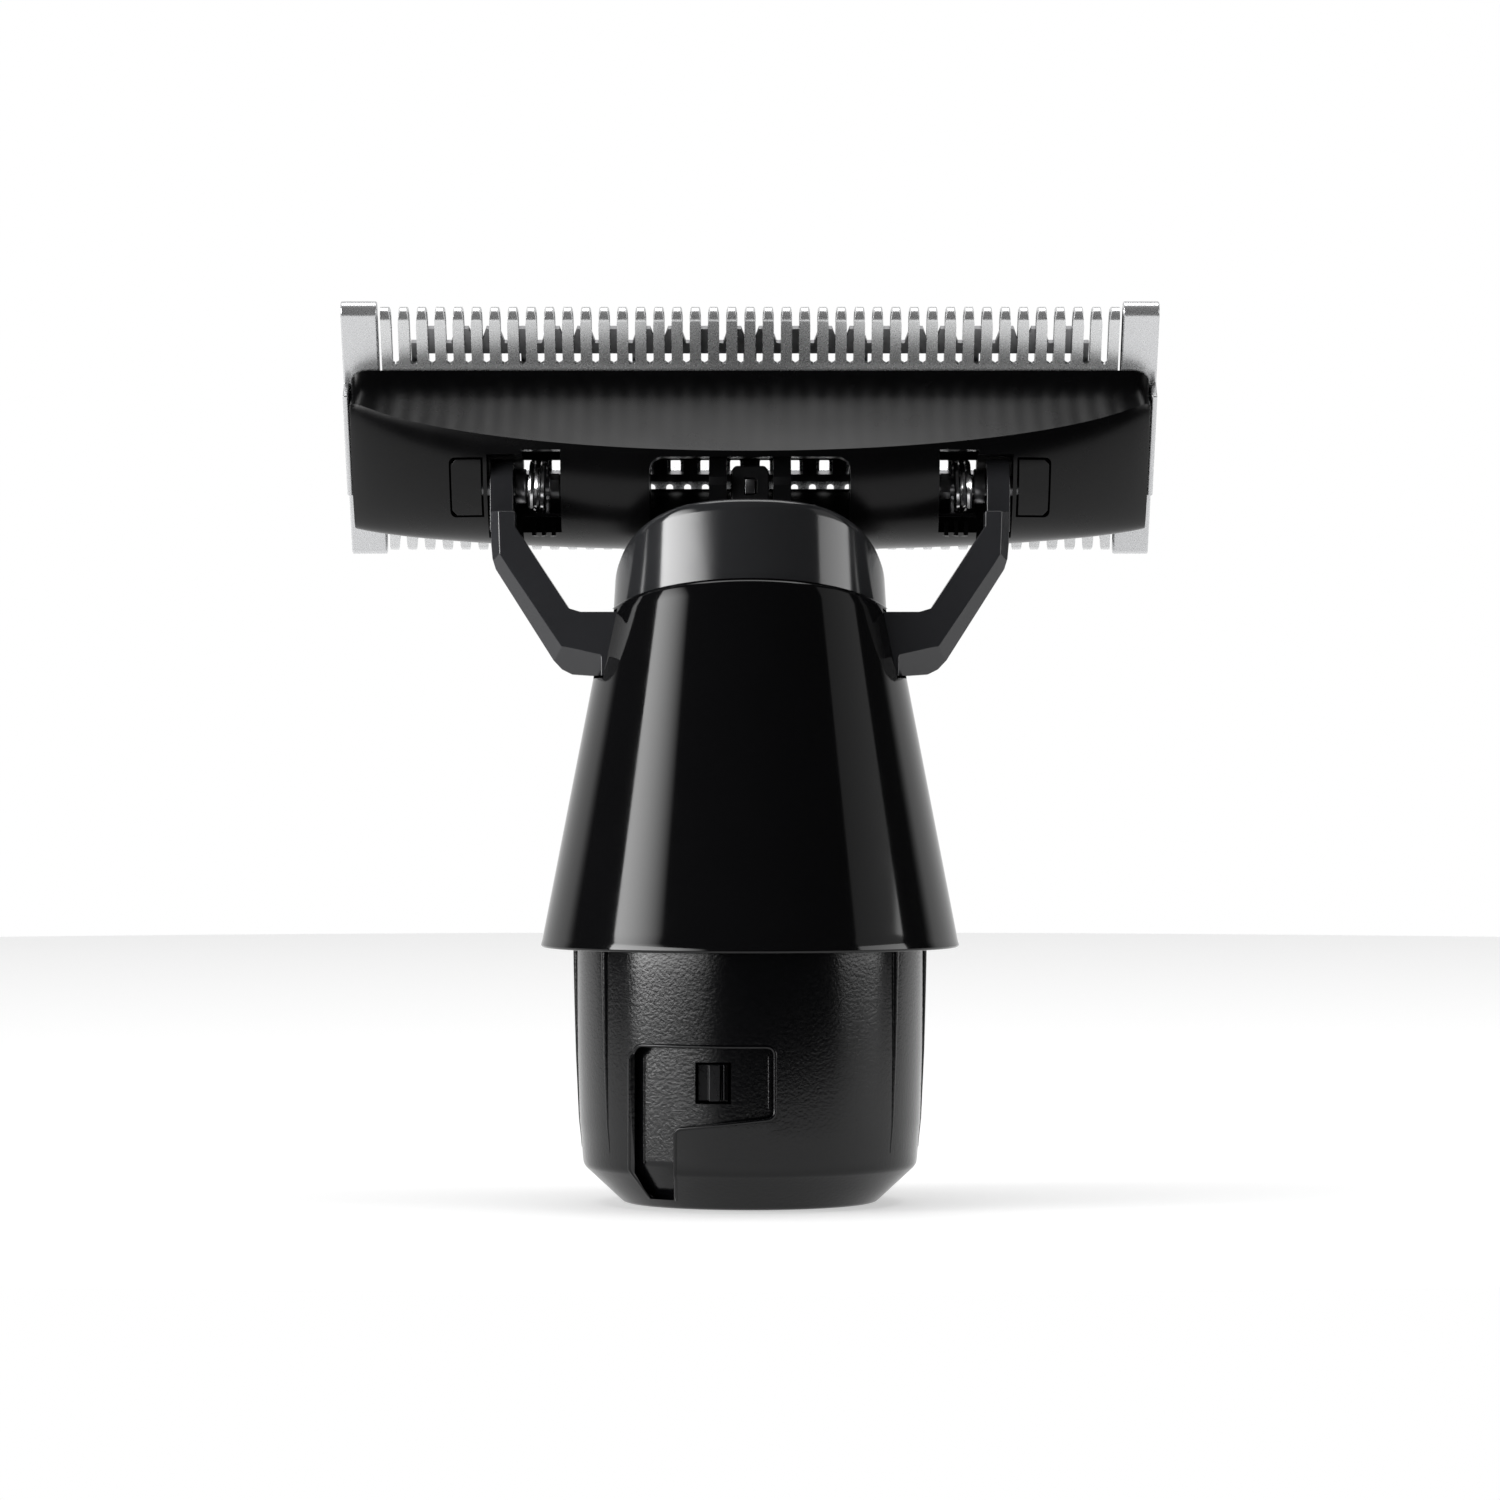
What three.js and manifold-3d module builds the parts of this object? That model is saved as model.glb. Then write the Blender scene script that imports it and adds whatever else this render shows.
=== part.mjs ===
// Detachable T-shaped trimming head of a body groomer: neck, yoke, rocking head, comb and driven cutter.
// Millimetres, +Z up the handle axis, +Y towards the cutting face, origin at the centre of the foot.
import * as THREE from "three";
import { mergeVertices } from "three/addons/utils/BufferGeometryUtils.js";
import Module from "manifold-3d";

const wasm = await Module();
wasm.setup();

// ---- Driving dimensions ----
const TILT = THREE.MathUtils.degToRad(38);
const HEAD_CENTRE = { y: 5, z: 47.64 };
const PIVOT = { y: 0.2, z: 43.6 };
const ROUND = 48;

const COLLAR = {
  footRadius: 7.7,
  radius: 10.15,
  topRadius: 10.55,
  chamferTop: 2.3,
  top: 17.5,
  boreRadius: 6.2,
  innerRadius: 8.7,
  webBottom: 13.2,
  webTop: 14.6,
  webHole: 4.2,
  trackFloor: 9.75,
};
const RIB = { width: 0.6, proud: 0.3, start: 3.0, full: 5.2, top: 15.3 };
const RIB_ANGLES = [-124.5, -90, -55.5, 55.5, 90, 124.5];
const CONE = { rim: 15.5, rimRadius: 12.75, taper: 0.195, wall: 1.3 };
const FLANGE = { bottom: 17.8, top: 19.2, hole: 4.8 };
const CAP = { radius: 8.2, taper: 0.06, wall: 1.2, gap: 0.12 };
const ARM = { back: -3.3, front: -0.1 };
const HUB = { outer: 6.5, inner: 4.7, bottom: 32.1, top: 34.6, front: 2.3 };
const KNUCKLE = { radius: 1.65, inner: 14.4, outer: 15.8, bore: 0.68 };
const SLOT = { inner: 13.85, outer: 16.0 };
const PIN = { radius: 0.6, bore: 0.66, start: 10.8, end: 16.7 };
const PANEL = { inner: 16.35, outer: 18.2, bottom: 41.85, top: 45.15, corner: 0.3, bed: 1.6 };
const LEVER = { back: -0.8, front: 1.2, pinZ: 25, pinRadius: 0.9, pinHalf: 6.4 };
const SCREW = { y: 7.1, headRadius: 1.45, headTop: 13.15, headHeight: 1.0, shank: 0.7, tip: 17.6 };
const COMB = { half: 22.5, tip: 9.0, wall: 0.28, depth: 1.2, rearEnd: 4.8 };
const SLOTS = { count: 40, pitch: 1.1106, width: 0.43, rearRoot: 5.3, frontRoot: 4.35 };
const INNER_SLOT = { count: 22, pitch: 1.845, width: 0.62, near: 2.35, far: 3.3 };
const CUTTER = { half: 20.7, front: -0.4, back: -0.76, tip: 7.6, root: 6.57, pitch: 1.845, teeth: 22 };
const SPRING = { radius: 1.45, wire: 0.17, turns: 2.75, from: 12.35, to: 13.35 };
const GUARD = { inner: 22.7, outer: 24.9, half: 9.35 };
const CARRIER = { half: 24.45, front: -1.28, corner: 1.1 };

// ---- Materials ----
function material(colour, roughness, metalness) {
  return new THREE.MeshStandardMaterial({ color: colour, roughness, metalness });
}
const matteBlack = () => material(0x17181a, 0.62, 0.0);
const glossBlack = () => material(0x060607, 0.12, 0.0);
const glossGrey = () => material(0x26272a, 0.2, 0.0);
const yokeGrey = () => material(0x3a3b3e, 0.38, 0.0);
const steel = () => material(0xb9bbbe, 0.32, 1.0);
const darkSteel = () => material(0x3d3e40, 0.35, 1.0);
const rubber = () => material(0x101011, 0.85, 0.0);

// ---- Solid helpers ----
function toSolid(geometry) {
  const bare = geometry.index ? geometry.toNonIndexed() : geometry.clone();
  bare.deleteAttribute("normal");
  bare.deleteAttribute("uv");
  const merged = mergeVertices(bare, 1e-4);
  const corners = merged.index.array;
  const kept = [];
  for (let i = 0; i < corners.length; i += 3) {
    const [a, b, c] = [corners[i], corners[i + 1], corners[i + 2]];
    if (a !== b && b !== c && a !== c) kept.push(a, b, c);
  }
  const mesh = new wasm.Mesh({
    numProp: 3,
    vertProperties: new Float32Array(merged.attributes.position.array),
    triVerts: new Uint32Array(kept),
  });
  return new wasm.Manifold(mesh);
}

function toGeometry(solid) {
  const mesh = solid.getMesh();
  const geometry = new THREE.BufferGeometry();
  geometry.setAttribute("position", new THREE.BufferAttribute(mesh.vertProperties, 3));
  geometry.setIndex(new THREE.BufferAttribute(mesh.triVerts, 1));
  const flat = geometry.toNonIndexed();
  flat.computeVertexNormals();
  return flat;
}

function piece(name, geometry, skin) {
  const mesh = new THREE.Mesh(geometry, skin);
  mesh.name = name;
  return mesh;
}

function box(x0, x1, y0, y1, z0, z1) {
  const geometry = new THREE.BoxGeometry(x1 - x0, y1 - y0, z1 - z0);
  return geometry.translate((x0 + x1) / 2, (y0 + y1) / 2, (z0 + z1) / 2);
}

// A solid of revolution about Z from [radius, height] points that go up the outside.
function turned(profile, segments = ROUND) {
  const points = profile.map(([r, z]) => new THREE.Vector2(r, z));
  points.push(points[0].clone());
  return new THREE.LatheGeometry(points, segments).rotateX(Math.PI / 2);
}

function rodX(radius, x0, x1, y, z, segments = 16) {
  const rod = new THREE.CylinderGeometry(radius, radius, x1 - x0, segments).rotateZ(Math.PI / 2);
  return rod.translate((x0 + x1) / 2, y, z);
}

function rodY(radius, x, y0, y1, z, segments = 16) {
  const rod = new THREE.CylinderGeometry(radius, radius, y1 - y0, segments);
  return rod.translate(x, (y0 + y1) / 2, z);
}

function rodZ(radius, x, y, z0, z1, segments = 16) {
  const rod = new THREE.CylinderGeometry(radius, radius, z1 - z0, segments).rotateX(Math.PI / 2);
  return rod.translate(x, y, (z0 + z1) / 2);
}

function extruded(points, depth) {
  const shape = new THREE.Shape(points.map(([a, b]) => new THREE.Vector2(a, b)));
  return new THREE.ExtrudeGeometry(shape, { depth, bevelEnabled: false, steps: 1 });
}

// [x, z] points pushed along Y.
function plateXZ(points, y0, y1) {
  return extruded(points, y1 - y0).rotateX(Math.PI / 2).translate(0, y1, 0);
}

// [y, z] points pushed along X.
function plateYZ(points, x0, x1) {
  const turn = new THREE.Matrix4().set(0, 0, 1, 0, 1, 0, 0, 0, 0, 1, 0, 0, 0, 0, 0, 1);
  return extruded(points, x1 - x0).applyMatrix4(turn).translate(x0, 0, 0);
}

// [x, y] points pushed along Z.
function plateXY(points, z0, z1) {
  return extruded(points, z1 - z0).translate(0, 0, z0);
}

// Skins a row of sections, each an anticlockwise list of [y, z], placed at rising x.
function loftAlongX(stations) {
  const count = stations[0].points.length;
  const positions = [];
  const corner = (s, k) => [stations[s].x, ...stations[s].points[k % count]];
  const triangle = (a, b, c) => positions.push(...a, ...b, ...c);
  for (let s = 0; s + 1 < stations.length; s++) {
    for (let k = 0; k < count; k++) {
      triangle(corner(s, k), corner(s, k + 1), corner(s + 1, k + 1));
      triangle(corner(s, k), corner(s + 1, k + 1), corner(s + 1, k));
    }
  }
  const last = stations.length - 1;
  for (const [s, flip] of [[0, true], [last, false]]) {
    const outline = stations[s].points.map(([y, z]) => new THREE.Vector2(y, z));
    for (const [a, b, c] of THREE.ShapeUtils.triangulateShape(outline, [])) {
      if (flip) triangle(corner(s, a), corner(s, c), corner(s, b));
      else triangle(corner(s, a), corner(s, b), corner(s, c));
    }
  }
  const geometry = new THREE.BufferGeometry();
  geometry.setAttribute("position", new THREE.Float32BufferAttribute(positions, 3));
  return geometry;
}

function both(build) {
  return [build("left", -1), build("right", 1)];
}

// ---- The head's own frame: x as the part's, y out of the cutting face, z up the plate ----
const head = new THREE.Group();
head.name = "head";
head.position.set(0, HEAD_CENTRE.y, HEAD_CENTRE.z);
head.rotation.x = TILT;
head.updateMatrixWorld(true);
const intoHead = head.matrixWorld.clone().invert();
const inHead = (geometry) => toSolid(geometry.applyMatrix4(intoHead));

// ---- Neck ----
function trackSolid() {
  const outline = [
    [-6.98, 0.8], [-4.45, 0.8], [-4.45, 4.78], [-4.1, 4.95], [-1.02, 5.55], [1.0, 5.55],
    [1.5, 6.05], [1.5, 9.4], [1.0, 9.9], [-6.3, 9.9], [-6.98, 9.2],
  ];
  const core = toSolid(rodZ(COLLAR.trackFloor, 0, 0, -1, 20, ROUND));
  return toSolid(plateXZ(outline, -12, -5)).subtract(core);
}

function ribSolid(angle) {
  const outer = (z) => COLLAR.radius + ((COLLAR.topRadius - COLLAR.radius) * (z - COLLAR.chamferTop)) / 10;
  const outline = [
    [-9.9, RIB.start], [-9.9, RIB.top], [-outer(RIB.top) - RIB.proud, RIB.top],
    [-outer(RIB.full) - RIB.proud, RIB.full], [-outer(RIB.start) + 0.05, RIB.start],
  ];
  const rib = plateYZ(outline, -RIB.width / 2, RIB.width / 2);
  return toSolid(rib.rotateZ(THREE.MathUtils.degToRad(angle)));
}

function couplingCollar() {
  const c = COLLAR;
  let solid = toSolid(turned([
    [c.boreRadius, 0], [c.footRadius, 0], [c.radius, c.chamferTop], [10.38, 5], [10.5, 9],
    [c.topRadius, 14], [c.topRadius, c.top], [c.innerRadius + 0.2, c.top], [c.innerRadius + 0.2, c.webTop],
    [c.webHole, c.webTop], [c.webHole, c.webBottom], [c.innerRadius, c.webBottom], [c.innerRadius, 3.2],
    [c.boreRadius, 1.8],
  ]));
  for (const angle of RIB_ANGLES) solid = solid.add(ribSolid(angle));
  const track = trackSolid();
  solid = solid.subtract(track).subtract(track.rotate([0, 0, 180]));
  const latchWindow = toSolid(box(-3.26, -1.13, -12, -6, 6.45, 8.94));
  solid = solid.subtract(latchWindow);
  for (const side of [-1, 1]) {
    solid = solid.subtract(toSolid(rodZ(SCREW.shank + 0.2, 0, side * SCREW.y, 12, 16)));
  }
  return piece("coupling_collar", toGeometry(solid), matteBlack());
}

function bayonetDetent() {
  const solid = toSolid(box(-3.1, -1.29, -8.8, -7.9, 6.6, 8.8))
    .add(toSolid(box(-2.45, -1.78, -9.45, -8.7, 6.6, 8.8)))
    .add(toSolid(box(-1.62, -1.46, -9.3, -8.7, 6.6, 8.8)));
  return piece("bayonet_detent", toGeometry(solid), matteBlack());
}

function neckScrew(name, y) {
  const s = SCREW;
  const headBottom = s.headTop - s.headHeight;
  let solid = toSolid(rodZ(s.headRadius, 0, y, headBottom, s.headTop, 20));
  solid = solid.add(toSolid(rodZ(s.shank, 0, y, s.headTop - 0.2, s.tip, 16)));
  const blade = box(-0.9, 0.9, y - 0.17, y + 0.17, headBottom - 0.1, headBottom + 0.5);
  const cross = box(-0.17, 0.17, y - 0.9, y + 0.9, headBottom - 0.1, headBottom + 0.5);
  solid = solid.subtract(toSolid(blade)).subtract(toSolid(cross));
  return piece(name, toGeometry(solid), steel());
}

// Height of the seam between cone and cap.
function seam(y) {
  return 35.5 - 0.26 * y - (y > 0 ? 0.024 * y * y : 0);
}

// Height of the cap's top surface.
function crown(y) {
  const t = Math.max(y + 8.1, 0);
  return 42.6 - (0.75 * t * t) / (t + 3);
}

function curveRow(curve, offset, steps = 14) {
  const row = [];
  for (let i = 0; i <= steps; i++) {
    const y = -10 + (20 * i) / steps;
    row.push([y, curve(y) + offset]);
  }
  return row;
}

function coneRadius(z) {
  return CONE.rimRadius - CONE.taper * (z - CONE.rim);
}

function neckCone() {
  const c = CONE;
  let solid = toSolid(turned([
    [c.rimRadius - 0.18, c.rim], [coneRadius(c.rim + 0.25), c.rim + 0.25], [coneRadius(38.5), 38.5],
    [coneRadius(38.5) - c.wall, 38.5], [coneRadius(FLANGE.top) - c.wall, FLANGE.top],
    [FLANGE.hole, FLANGE.top], [FLANGE.hole, FLANGE.bottom], [11.0, FLANGE.bottom], [11.45, c.rim],
  ]));
  const above = toSolid(plateYZ([...curveRow(seam, 0), [10, 60], [-10, 60]], -15, 15));
  solid = solid.subtract(above);
  for (const side of [-1, 1]) {
    const lug = box(-2, 2, side * 5.3 - 1.0, side * 5.3 + 1.0, FLANGE.top - 0.3, LEVER.pinZ + 2);
    solid = solid.add(toSolid(lug));
    solid = solid.add(toSolid(rodZ(1.6, 0, side * SCREW.y, 15.0, FLANGE.top - 0.2, 20)));
    solid = solid.subtract(toSolid(rodZ(SCREW.shank + 0.08, 0, side * SCREW.y, 14, 18.2)));
    const notch = box(side * 10 - 3.7, side * 10 + 3.7, ARM.back - 0.2, ARM.front + 0.2, 31.85, 36.05);
    solid = solid.subtract(toSolid(notch));
  }
  const bore = rodY(LEVER.pinRadius + 0.05, 0, -6.45, 6.45, LEVER.pinZ);
  return piece("neck_cone", toGeometry(solid.subtract(toSolid(bore))), glossBlack());
}

function neckCap() {
  const radius = (z) => CAP.radius - CAP.taper * (z - 38);
  const tube = toSolid(turned([[0, 28], [radius(28), 28], [radius(44), 44], [0, 44]]));
  const inside = toSolid(turned([
    [0, 27], [radius(27) - CAP.wall, 27], [radius(45) - CAP.wall, 45], [0, 45],
  ]));
  const slab = toSolid(plateYZ([...curveRow(seam, CAP.gap), ...curveRow(crown, 0).reverse()], -12, 12));
  const room = toSolid(plateYZ([...curveRow(seam, -2), ...curveRow(crown, -CAP.wall).reverse()], -12, 12));
  let solid = tube.intersect(slab).subtract(inside.intersect(room));
  solid = solid.subtract(toSolid(box(-2.7, 2.7, -2.5, 2.9, 30, 50)));
  for (const side of [-1, 1]) {
    const notch = box(side * 10 - 3.9, side * 10 + 3.9, ARM.back - 0.2, ARM.front + 0.2, 31, 36.05);
    solid = solid.subtract(toSolid(notch));
  }
  return piece("neck_cap", toGeometry(solid), glossGrey());
}

function driveSeal() {
  const solid = toSolid(box(-2.55, 2.55, -2.35, 2.75, 35.6, 38.1))
    .add(toSolid(box(-2.2, 2.2, -1.9, 2.0, 38.0, 38.55)))
    .subtract(toSolid(box(-1.75, 1.75, -1.35, 1.75, 30, 45)));
  return piece("drive_seal", toGeometry(solid), rubber());
}

// ---- Yoke ----
function armSolid(side) {
  const outline = [
    [6.0, 32.0], [9.64, 32.0], [10.8, 32.08], [11.4, 32.38], [11.9, 32.92], [15.4, 38.44], [15.6, 39.1],
    [15.68, 40.0], [15.68, 41.95], [14.23, 41.95], [14.23, 41.04], [10.96, 36.07], [10.25, 35.86],
    [6.9, 35.86], [6.0, 34.9],
  ].map(([x, z]) => [side * x, z]);
  let arm = toSolid(plateXZ(outline, ARM.back, ARM.front));
  arm = arm.subtract(toSolid(armFacet(side)));
  const k = KNUCKLE;
  const [x0, x1] = side < 0 ? [-k.outer, -k.inner] : [k.inner, k.outer];
  arm = arm.add(toSolid(rodX(k.radius, x0, x1, PIVOT.y, PIVOT.z, 28)));
  arm = arm.add(toSolid(box(x0, x1, PIVOT.y - k.radius, 1.3, 40.8, PIVOT.z)));
  return arm.subtract(toSolid(rodX(k.bore, x0 - 1, x1 + 1, PIVOT.y, PIVOT.z)));
}

// The wedge taken off an arm's outer back edge, which leaves two facets and a ridge.
function armFacet(side) {
  const back = ARM.back;
  const ridge = [[9.0, 33.6], [11.2, 34.1], [14.9, 39.6], [15.0, 42.7]];
  const outer = [[9.0, 31.0], [12.6, 31.6], [16.6, 37.9], [16.7, 42.7]];
  const low = ridge.map(([x, z]) => [side * x, back - 0.3, z]);
  const rim = outer.map(([x, z]) => [side * x, back - 0.3, z]);
  const deep = outer.map(([x, z]) => [side * x, back + 1.9, z]);
  const positions = [];
  const triangle = (a, b, c) => {
    if (side > 0) positions.push(...a, ...b, ...c);
    else positions.push(...a, ...c, ...b);
  };
  const strips = [[low, rim], [rim, deep], [deep, low]];
  for (let i = 0; i < 3; i++) {
    for (const [from, to] of strips) {
      triangle(from[i], to[i], to[i + 1]);
      triangle(from[i], to[i + 1], from[i + 1]);
    }
  }
  triangle(low[0], deep[0], rim[0]);
  triangle(low[3], rim[3], deep[3]);
  const geometry = new THREE.BufferGeometry();
  geometry.setAttribute("position", new THREE.Float32BufferAttribute(positions, 3));
  return geometry;
}

function yokeFrame() {
  const h = HUB;
  const profile = [[h.inner, h.bottom], [h.outer, h.bottom], [h.outer, h.top], [h.inner, h.top]];
  const ring = toSolid(turned(profile, 36));
  let solid = ring.intersect(toSolid(box(-9, 9, -9, h.front, 30, 40)));
  solid = solid.add(armSolid(-1)).add(armSolid(1));
  return piece("yoke_frame", toGeometry(solid), yokeGrey());
}

// ---- Drive ----
function leverPivotPin() {
  const rod = rodY(LEVER.pinRadius, 0, -LEVER.pinHalf, LEVER.pinHalf, LEVER.pinZ, 20);
  return piece("lever_pivot_pin", rod, steel());
}

function driveLever() {
  const half = [
    [0.75, 9.4], [2.3, 9.0], [2.6, 9.6], [2.6, 14.4], [1.6, 17.0], [1.6, 22.6], [2.4, 24.0], [2.4, 26.0],
    [1.6, 27.4], [1.0, 31.0], [0.9, 40.8], [1.16, 41.8], [1.16, 44.5], [0.9, 44.8],
  ];
  const outline = [
    ...half, ...half.slice().reverse().map(([x, z]) => [-x, z]), [-0.75, 13.2], [0.75, 13.2],
  ];
  let solid = toSolid(plateXZ(outline, LEVER.back, LEVER.front));
  solid = solid.subtract(toSolid(rodY(LEVER.pinRadius + 0.06, 0, -5, 5, LEVER.pinZ, 20)));
  solid = solid.subtract(toSolid(box(-0.34, 0.34, -5, 5, 43.06, 44.04)));
  return piece("drive_lever", toGeometry(solid), yokeGrey());
}

function leverTipInsert() {
  const proud = 0.15;
  const bar = box(-0.3, 0.3, LEVER.back - proud, LEVER.front + proud, 43.1, 44.0);
  return piece("lever_tip_insert", bar, steel());
}

// ---- Head: section of the carrier at x, in the head's frame ----
function creaseDepth(x) {
  return -7.7 + 6.5 * (1 - Math.sqrt(1 - (x / 25.6) ** 2));
}

function bezier(points, steps, skipFirst) {
  const row = [];
  for (let i = skipFirst ? 1 : 0; i <= steps; i++) {
    let layer = points.map((p) => p.slice());
    const t = i / steps;
    while (layer.length > 1) {
      const before = layer;
      const blend = (k, axis) => before[k][axis] * (1 - t) + before[k + 1][axis] * t;
      layer = before.slice(1).map((_, k) => [blend(k, 0), blend(k, 1)]);
    }
    row.push(layer[0]);
  }
  return row;
}

function carrierSection(x) {
  const depth = creaseDepth(x);
  const end = (depth + 7.7) / 5.0;
  const beyond = Math.min(Math.max(Math.abs(x) - CARRIER.half + CARRIER.corner, 0) / CARRIER.corner, 1);
  const rounding = 1 - Math.sqrt(1 - beyond ** 2);
  const topFront = [CARRIER.front, 4.9 - 0.9 * rounding];
  const crease = [depth, 3.435 + 0.6415 * end - 0.5 * rounding];
  const across = depth - CARRIER.front;
  const scoop = [CARRIER.front + across * 0.355, crease[1] - 0.0394 * across];
  const foot = [-6.5 + 3.5 * end, -4.9 - 0.7 * end];
  const pull = 3.3 - 2.1 * end;
  const backHigh = [crease[0] - 0.616 * pull, crease[1] - 0.788 * pull];
  const backLow = [foot[0] - 0.788 * pull, foot[1] + 0.616 * pull];
  const back = bezier([crease, backHigh, backLow, foot], 8, true);
  const top = bezier([topFront, scoop, crease], 6, false);
  const under = [[foot[0] + 0.9, foot[1] - 0.15], [CARRIER.front, -4.95 - 0.2 * end]];
  return [...top, ...back, ...under];
}

function panelOutline(grow) {
  const p = PANEL;
  const [x0, x1, z0, z1] = [p.inner - grow, p.outer + grow, p.bottom - grow, p.top + grow];
  const c = p.corner;
  return [
    [x0, z0], [x1 - c, z0], [x1, z0 + c], [x1, z1 - c], [x1 - c, z1], [x0, z1],
  ];
}

function carrierBlank() {
  const half = [3, 6.5, 10, 13, 16, 18.5, 20.5, 22.2, 23.35, 23.9, 24.25, CARRIER.half];
  const places = [...half.slice().reverse().map((x) => -x), 0, ...half];
  return toSolid(loftAlongX(places.map((x) => ({ x, points: carrierSection(x) }))));
}

function chamberSolids() {
  const rooms = [
    toSolid(box(-21.9, 21.9, -2.9, 0, -4.0, 3.1)),
    inHead(box(-6.1, 6.1, -9, 2.6, 41.4, 45.25)),
    toSolid(box(-6.1, 6.1, -6.0, 0, -3.6, 2.1)),
    inHead(box(-2.3, 2.3, -9, 2.9, 36, 43)),
  ];
  for (const side of [-1, 1]) {
    const span = (a, b) => (side < 0 ? [-b, -a] : [a, b]);
    const slot = span(SLOT.inner, SLOT.outer);
    rooms.push(inHead(box(...span(11.5, 13.9), -9, 2.3, 40.8, 45.7)));
    rooms.push(toSolid(box(...span(11.5, 13.9), -5.4, 0, -3.4, 2.0)));
    rooms.push(inHead(box(...slot, -9, 2.4, 36, PIVOT.z)));
    rooms.push(inHead(box(...slot, -9, PIVOT.y, PIVOT.z - 1, PIVOT.z + 1.85)));
    rooms.push(inHead(rodX(1.85, ...slot, PIVOT.y, PIVOT.z, 28)));
    rooms.push(inHead(plateXZ(panelOutline(0.12).map(([x, z]) => [side * x, z]), -9, PANEL.bed)));
    rooms.push(inHead(rodX(PIN.bore, ...span(10.6, PIN.end + 0.2), PIVOT.y, PIVOT.z)));
  }
  return rooms;
}

// A spring rest and three ribs in the foot of each spring room.
function roomFittings() {
  const fittings = [];
  for (const side of [-1, 1]) {
    const span = (a, b) => (side < 0 ? [-b, -a] : [a, b]);
    fittings.push(inHead(box(...span(11.3, 13.75), -0.4, -0.05, 41.72, 41.92)));
    for (const x of [12.0, 12.6, 13.2]) {
      fittings.push(inHead(box(...span(x - 0.12, x + 0.12), 0.5, 1.4, 40.6, 41.45)));
    }
  }
  return fittings;
}

function headCarrier() {
  let solid = carrierBlank();
  for (const room of chamberSolids()) solid = solid.subtract(room);
  for (const fitting of roomFittings()) solid = solid.add(fitting);
  return piece("head_carrier", toGeometry(solid), glossBlack());
}

function combSolid() {
  const c = COMB;
  const arc = (centre, radius, from, to, steps) => {
    const row = [];
    for (let i = 0; i <= steps; i++) {
      const a = THREE.MathUtils.degToRad(from + ((to - from) * i) / steps);
      row.push([centre[0] + radius * Math.cos(a), centre[1] + radius * Math.sin(a)]);
    }
    return row;
  };
  const mid = -c.depth / 2;
  const bend = c.depth / 2;
  const tipCentre = c.tip - bend;
  const inside = bend - c.wall;
  const outline = [
    ...arc([mid, tipCentre], bend, 0, 180, 4), [-c.depth, c.rearEnd], [-c.depth + c.wall, c.rearEnd],
    ...arc([mid, tipCentre], inside, 180, 0, 2), ...arc([mid, -tipCentre], inside, 0, -180, 2),
    [-c.depth + c.wall, -c.rearEnd], [-c.depth, -c.rearEnd], ...arc([mid, -tipCentre], bend, 180, 360, 4),
  ];
  return toSolid(plateYZ(outline, -c.half, c.half));
}

function comb() {
  const c = COMB;
  const slots = [];
  for (let i = 0; i < SLOTS.count; i++) {
    const x = (i - (SLOTS.count - 1) / 2) * SLOTS.pitch;
    const [low, high] = [x - SLOTS.width / 2, x + SLOTS.width / 2];
    const middle = -c.depth / 2;
    slots.push(toSolid(box(low, high, -2, middle, SLOTS.rearRoot, 12)));
    slots.push(toSolid(box(low, high, middle, 1, SLOTS.frontRoot, 12)));
    slots.push(toSolid(box(low, high, -2, middle, -12, -SLOTS.rearRoot)));
    slots.push(toSolid(box(low, high, middle, 1, -12, -SLOTS.frontRoot)));
  }
  const s = INNER_SLOT;
  for (let i = 0; i < s.count; i++) {
    const x = (i - (s.count - 1) / 2) * s.pitch;
    slots.push(toSolid(box(x - s.width / 2, x + s.width / 2, -0.8, 1, s.near, s.far)));
    slots.push(toSolid(box(x - s.width / 2, x + s.width / 2, -0.8, 1, -s.far, -s.near)));
  }
  const solid = combSolid().subtract(wasm.Manifold.union(slots));
  return piece("comb", toGeometry(solid), steel());
}

function endGuard(name, side) {
  const g = GUARD;
  const outline = [
    [-1.2, -g.half + 0.7], [-0.7, -g.half], [-0.25, -g.half], [0.12, -g.half + 0.5],
    [0.12, g.half - 0.5], [-0.25, g.half], [-0.7, g.half], [-1.2, g.half - 0.7],
  ];
  let solid = toSolid(plateYZ(outline, g.inner, g.outer));
  const wrap = box(CARRIER.half + 0.1, g.outer, -2.6, -0.3, -3.6, 3.9);
  solid = solid.add(toSolid(wrap));
  const pocket = box(g.inner - 1, g.outer - 0.8, -0.9, -0.3, -8.4, 8.4);
  solid = solid.subtract(toSolid(pocket));
  const geometry = toGeometry(solid);
  const mesh = piece(name, geometry, steel());
  mesh.scale.x = side;
  return mesh;
}

function sidePanel(name, side) {
  const block = carrierBlank().intersect(inHead(plateXZ(panelOutline(0), -9, PANEL.bed - 0.1)));
  const solid = block.subtract(inHead(rodX(PIN.bore, PANEL.inner - 1, PIN.end + 0.2, PIVOT.y, PIVOT.z)));
  const mesh = piece(name, toGeometry(solid), matteBlack());
  mesh.scale.x = side;
  return mesh;
}

function pivotPin(name, side) {
  let solid = inHead(rodX(PIN.radius, PIN.start, PIN.end, PIVOT.y, PIVOT.z));
  solid = solid.add(inHead(rodX(0.78, 11.62, 12.2, PIVOT.y, PIVOT.z, 6)));
  solid = solid.add(inHead(rodX(1.05, 13.65, 14.3, PIVOT.y, PIVOT.z, 20)));
  const mesh = piece(name, toGeometry(solid), steel());
  mesh.scale.x = side;
  return mesh;
}

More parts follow.
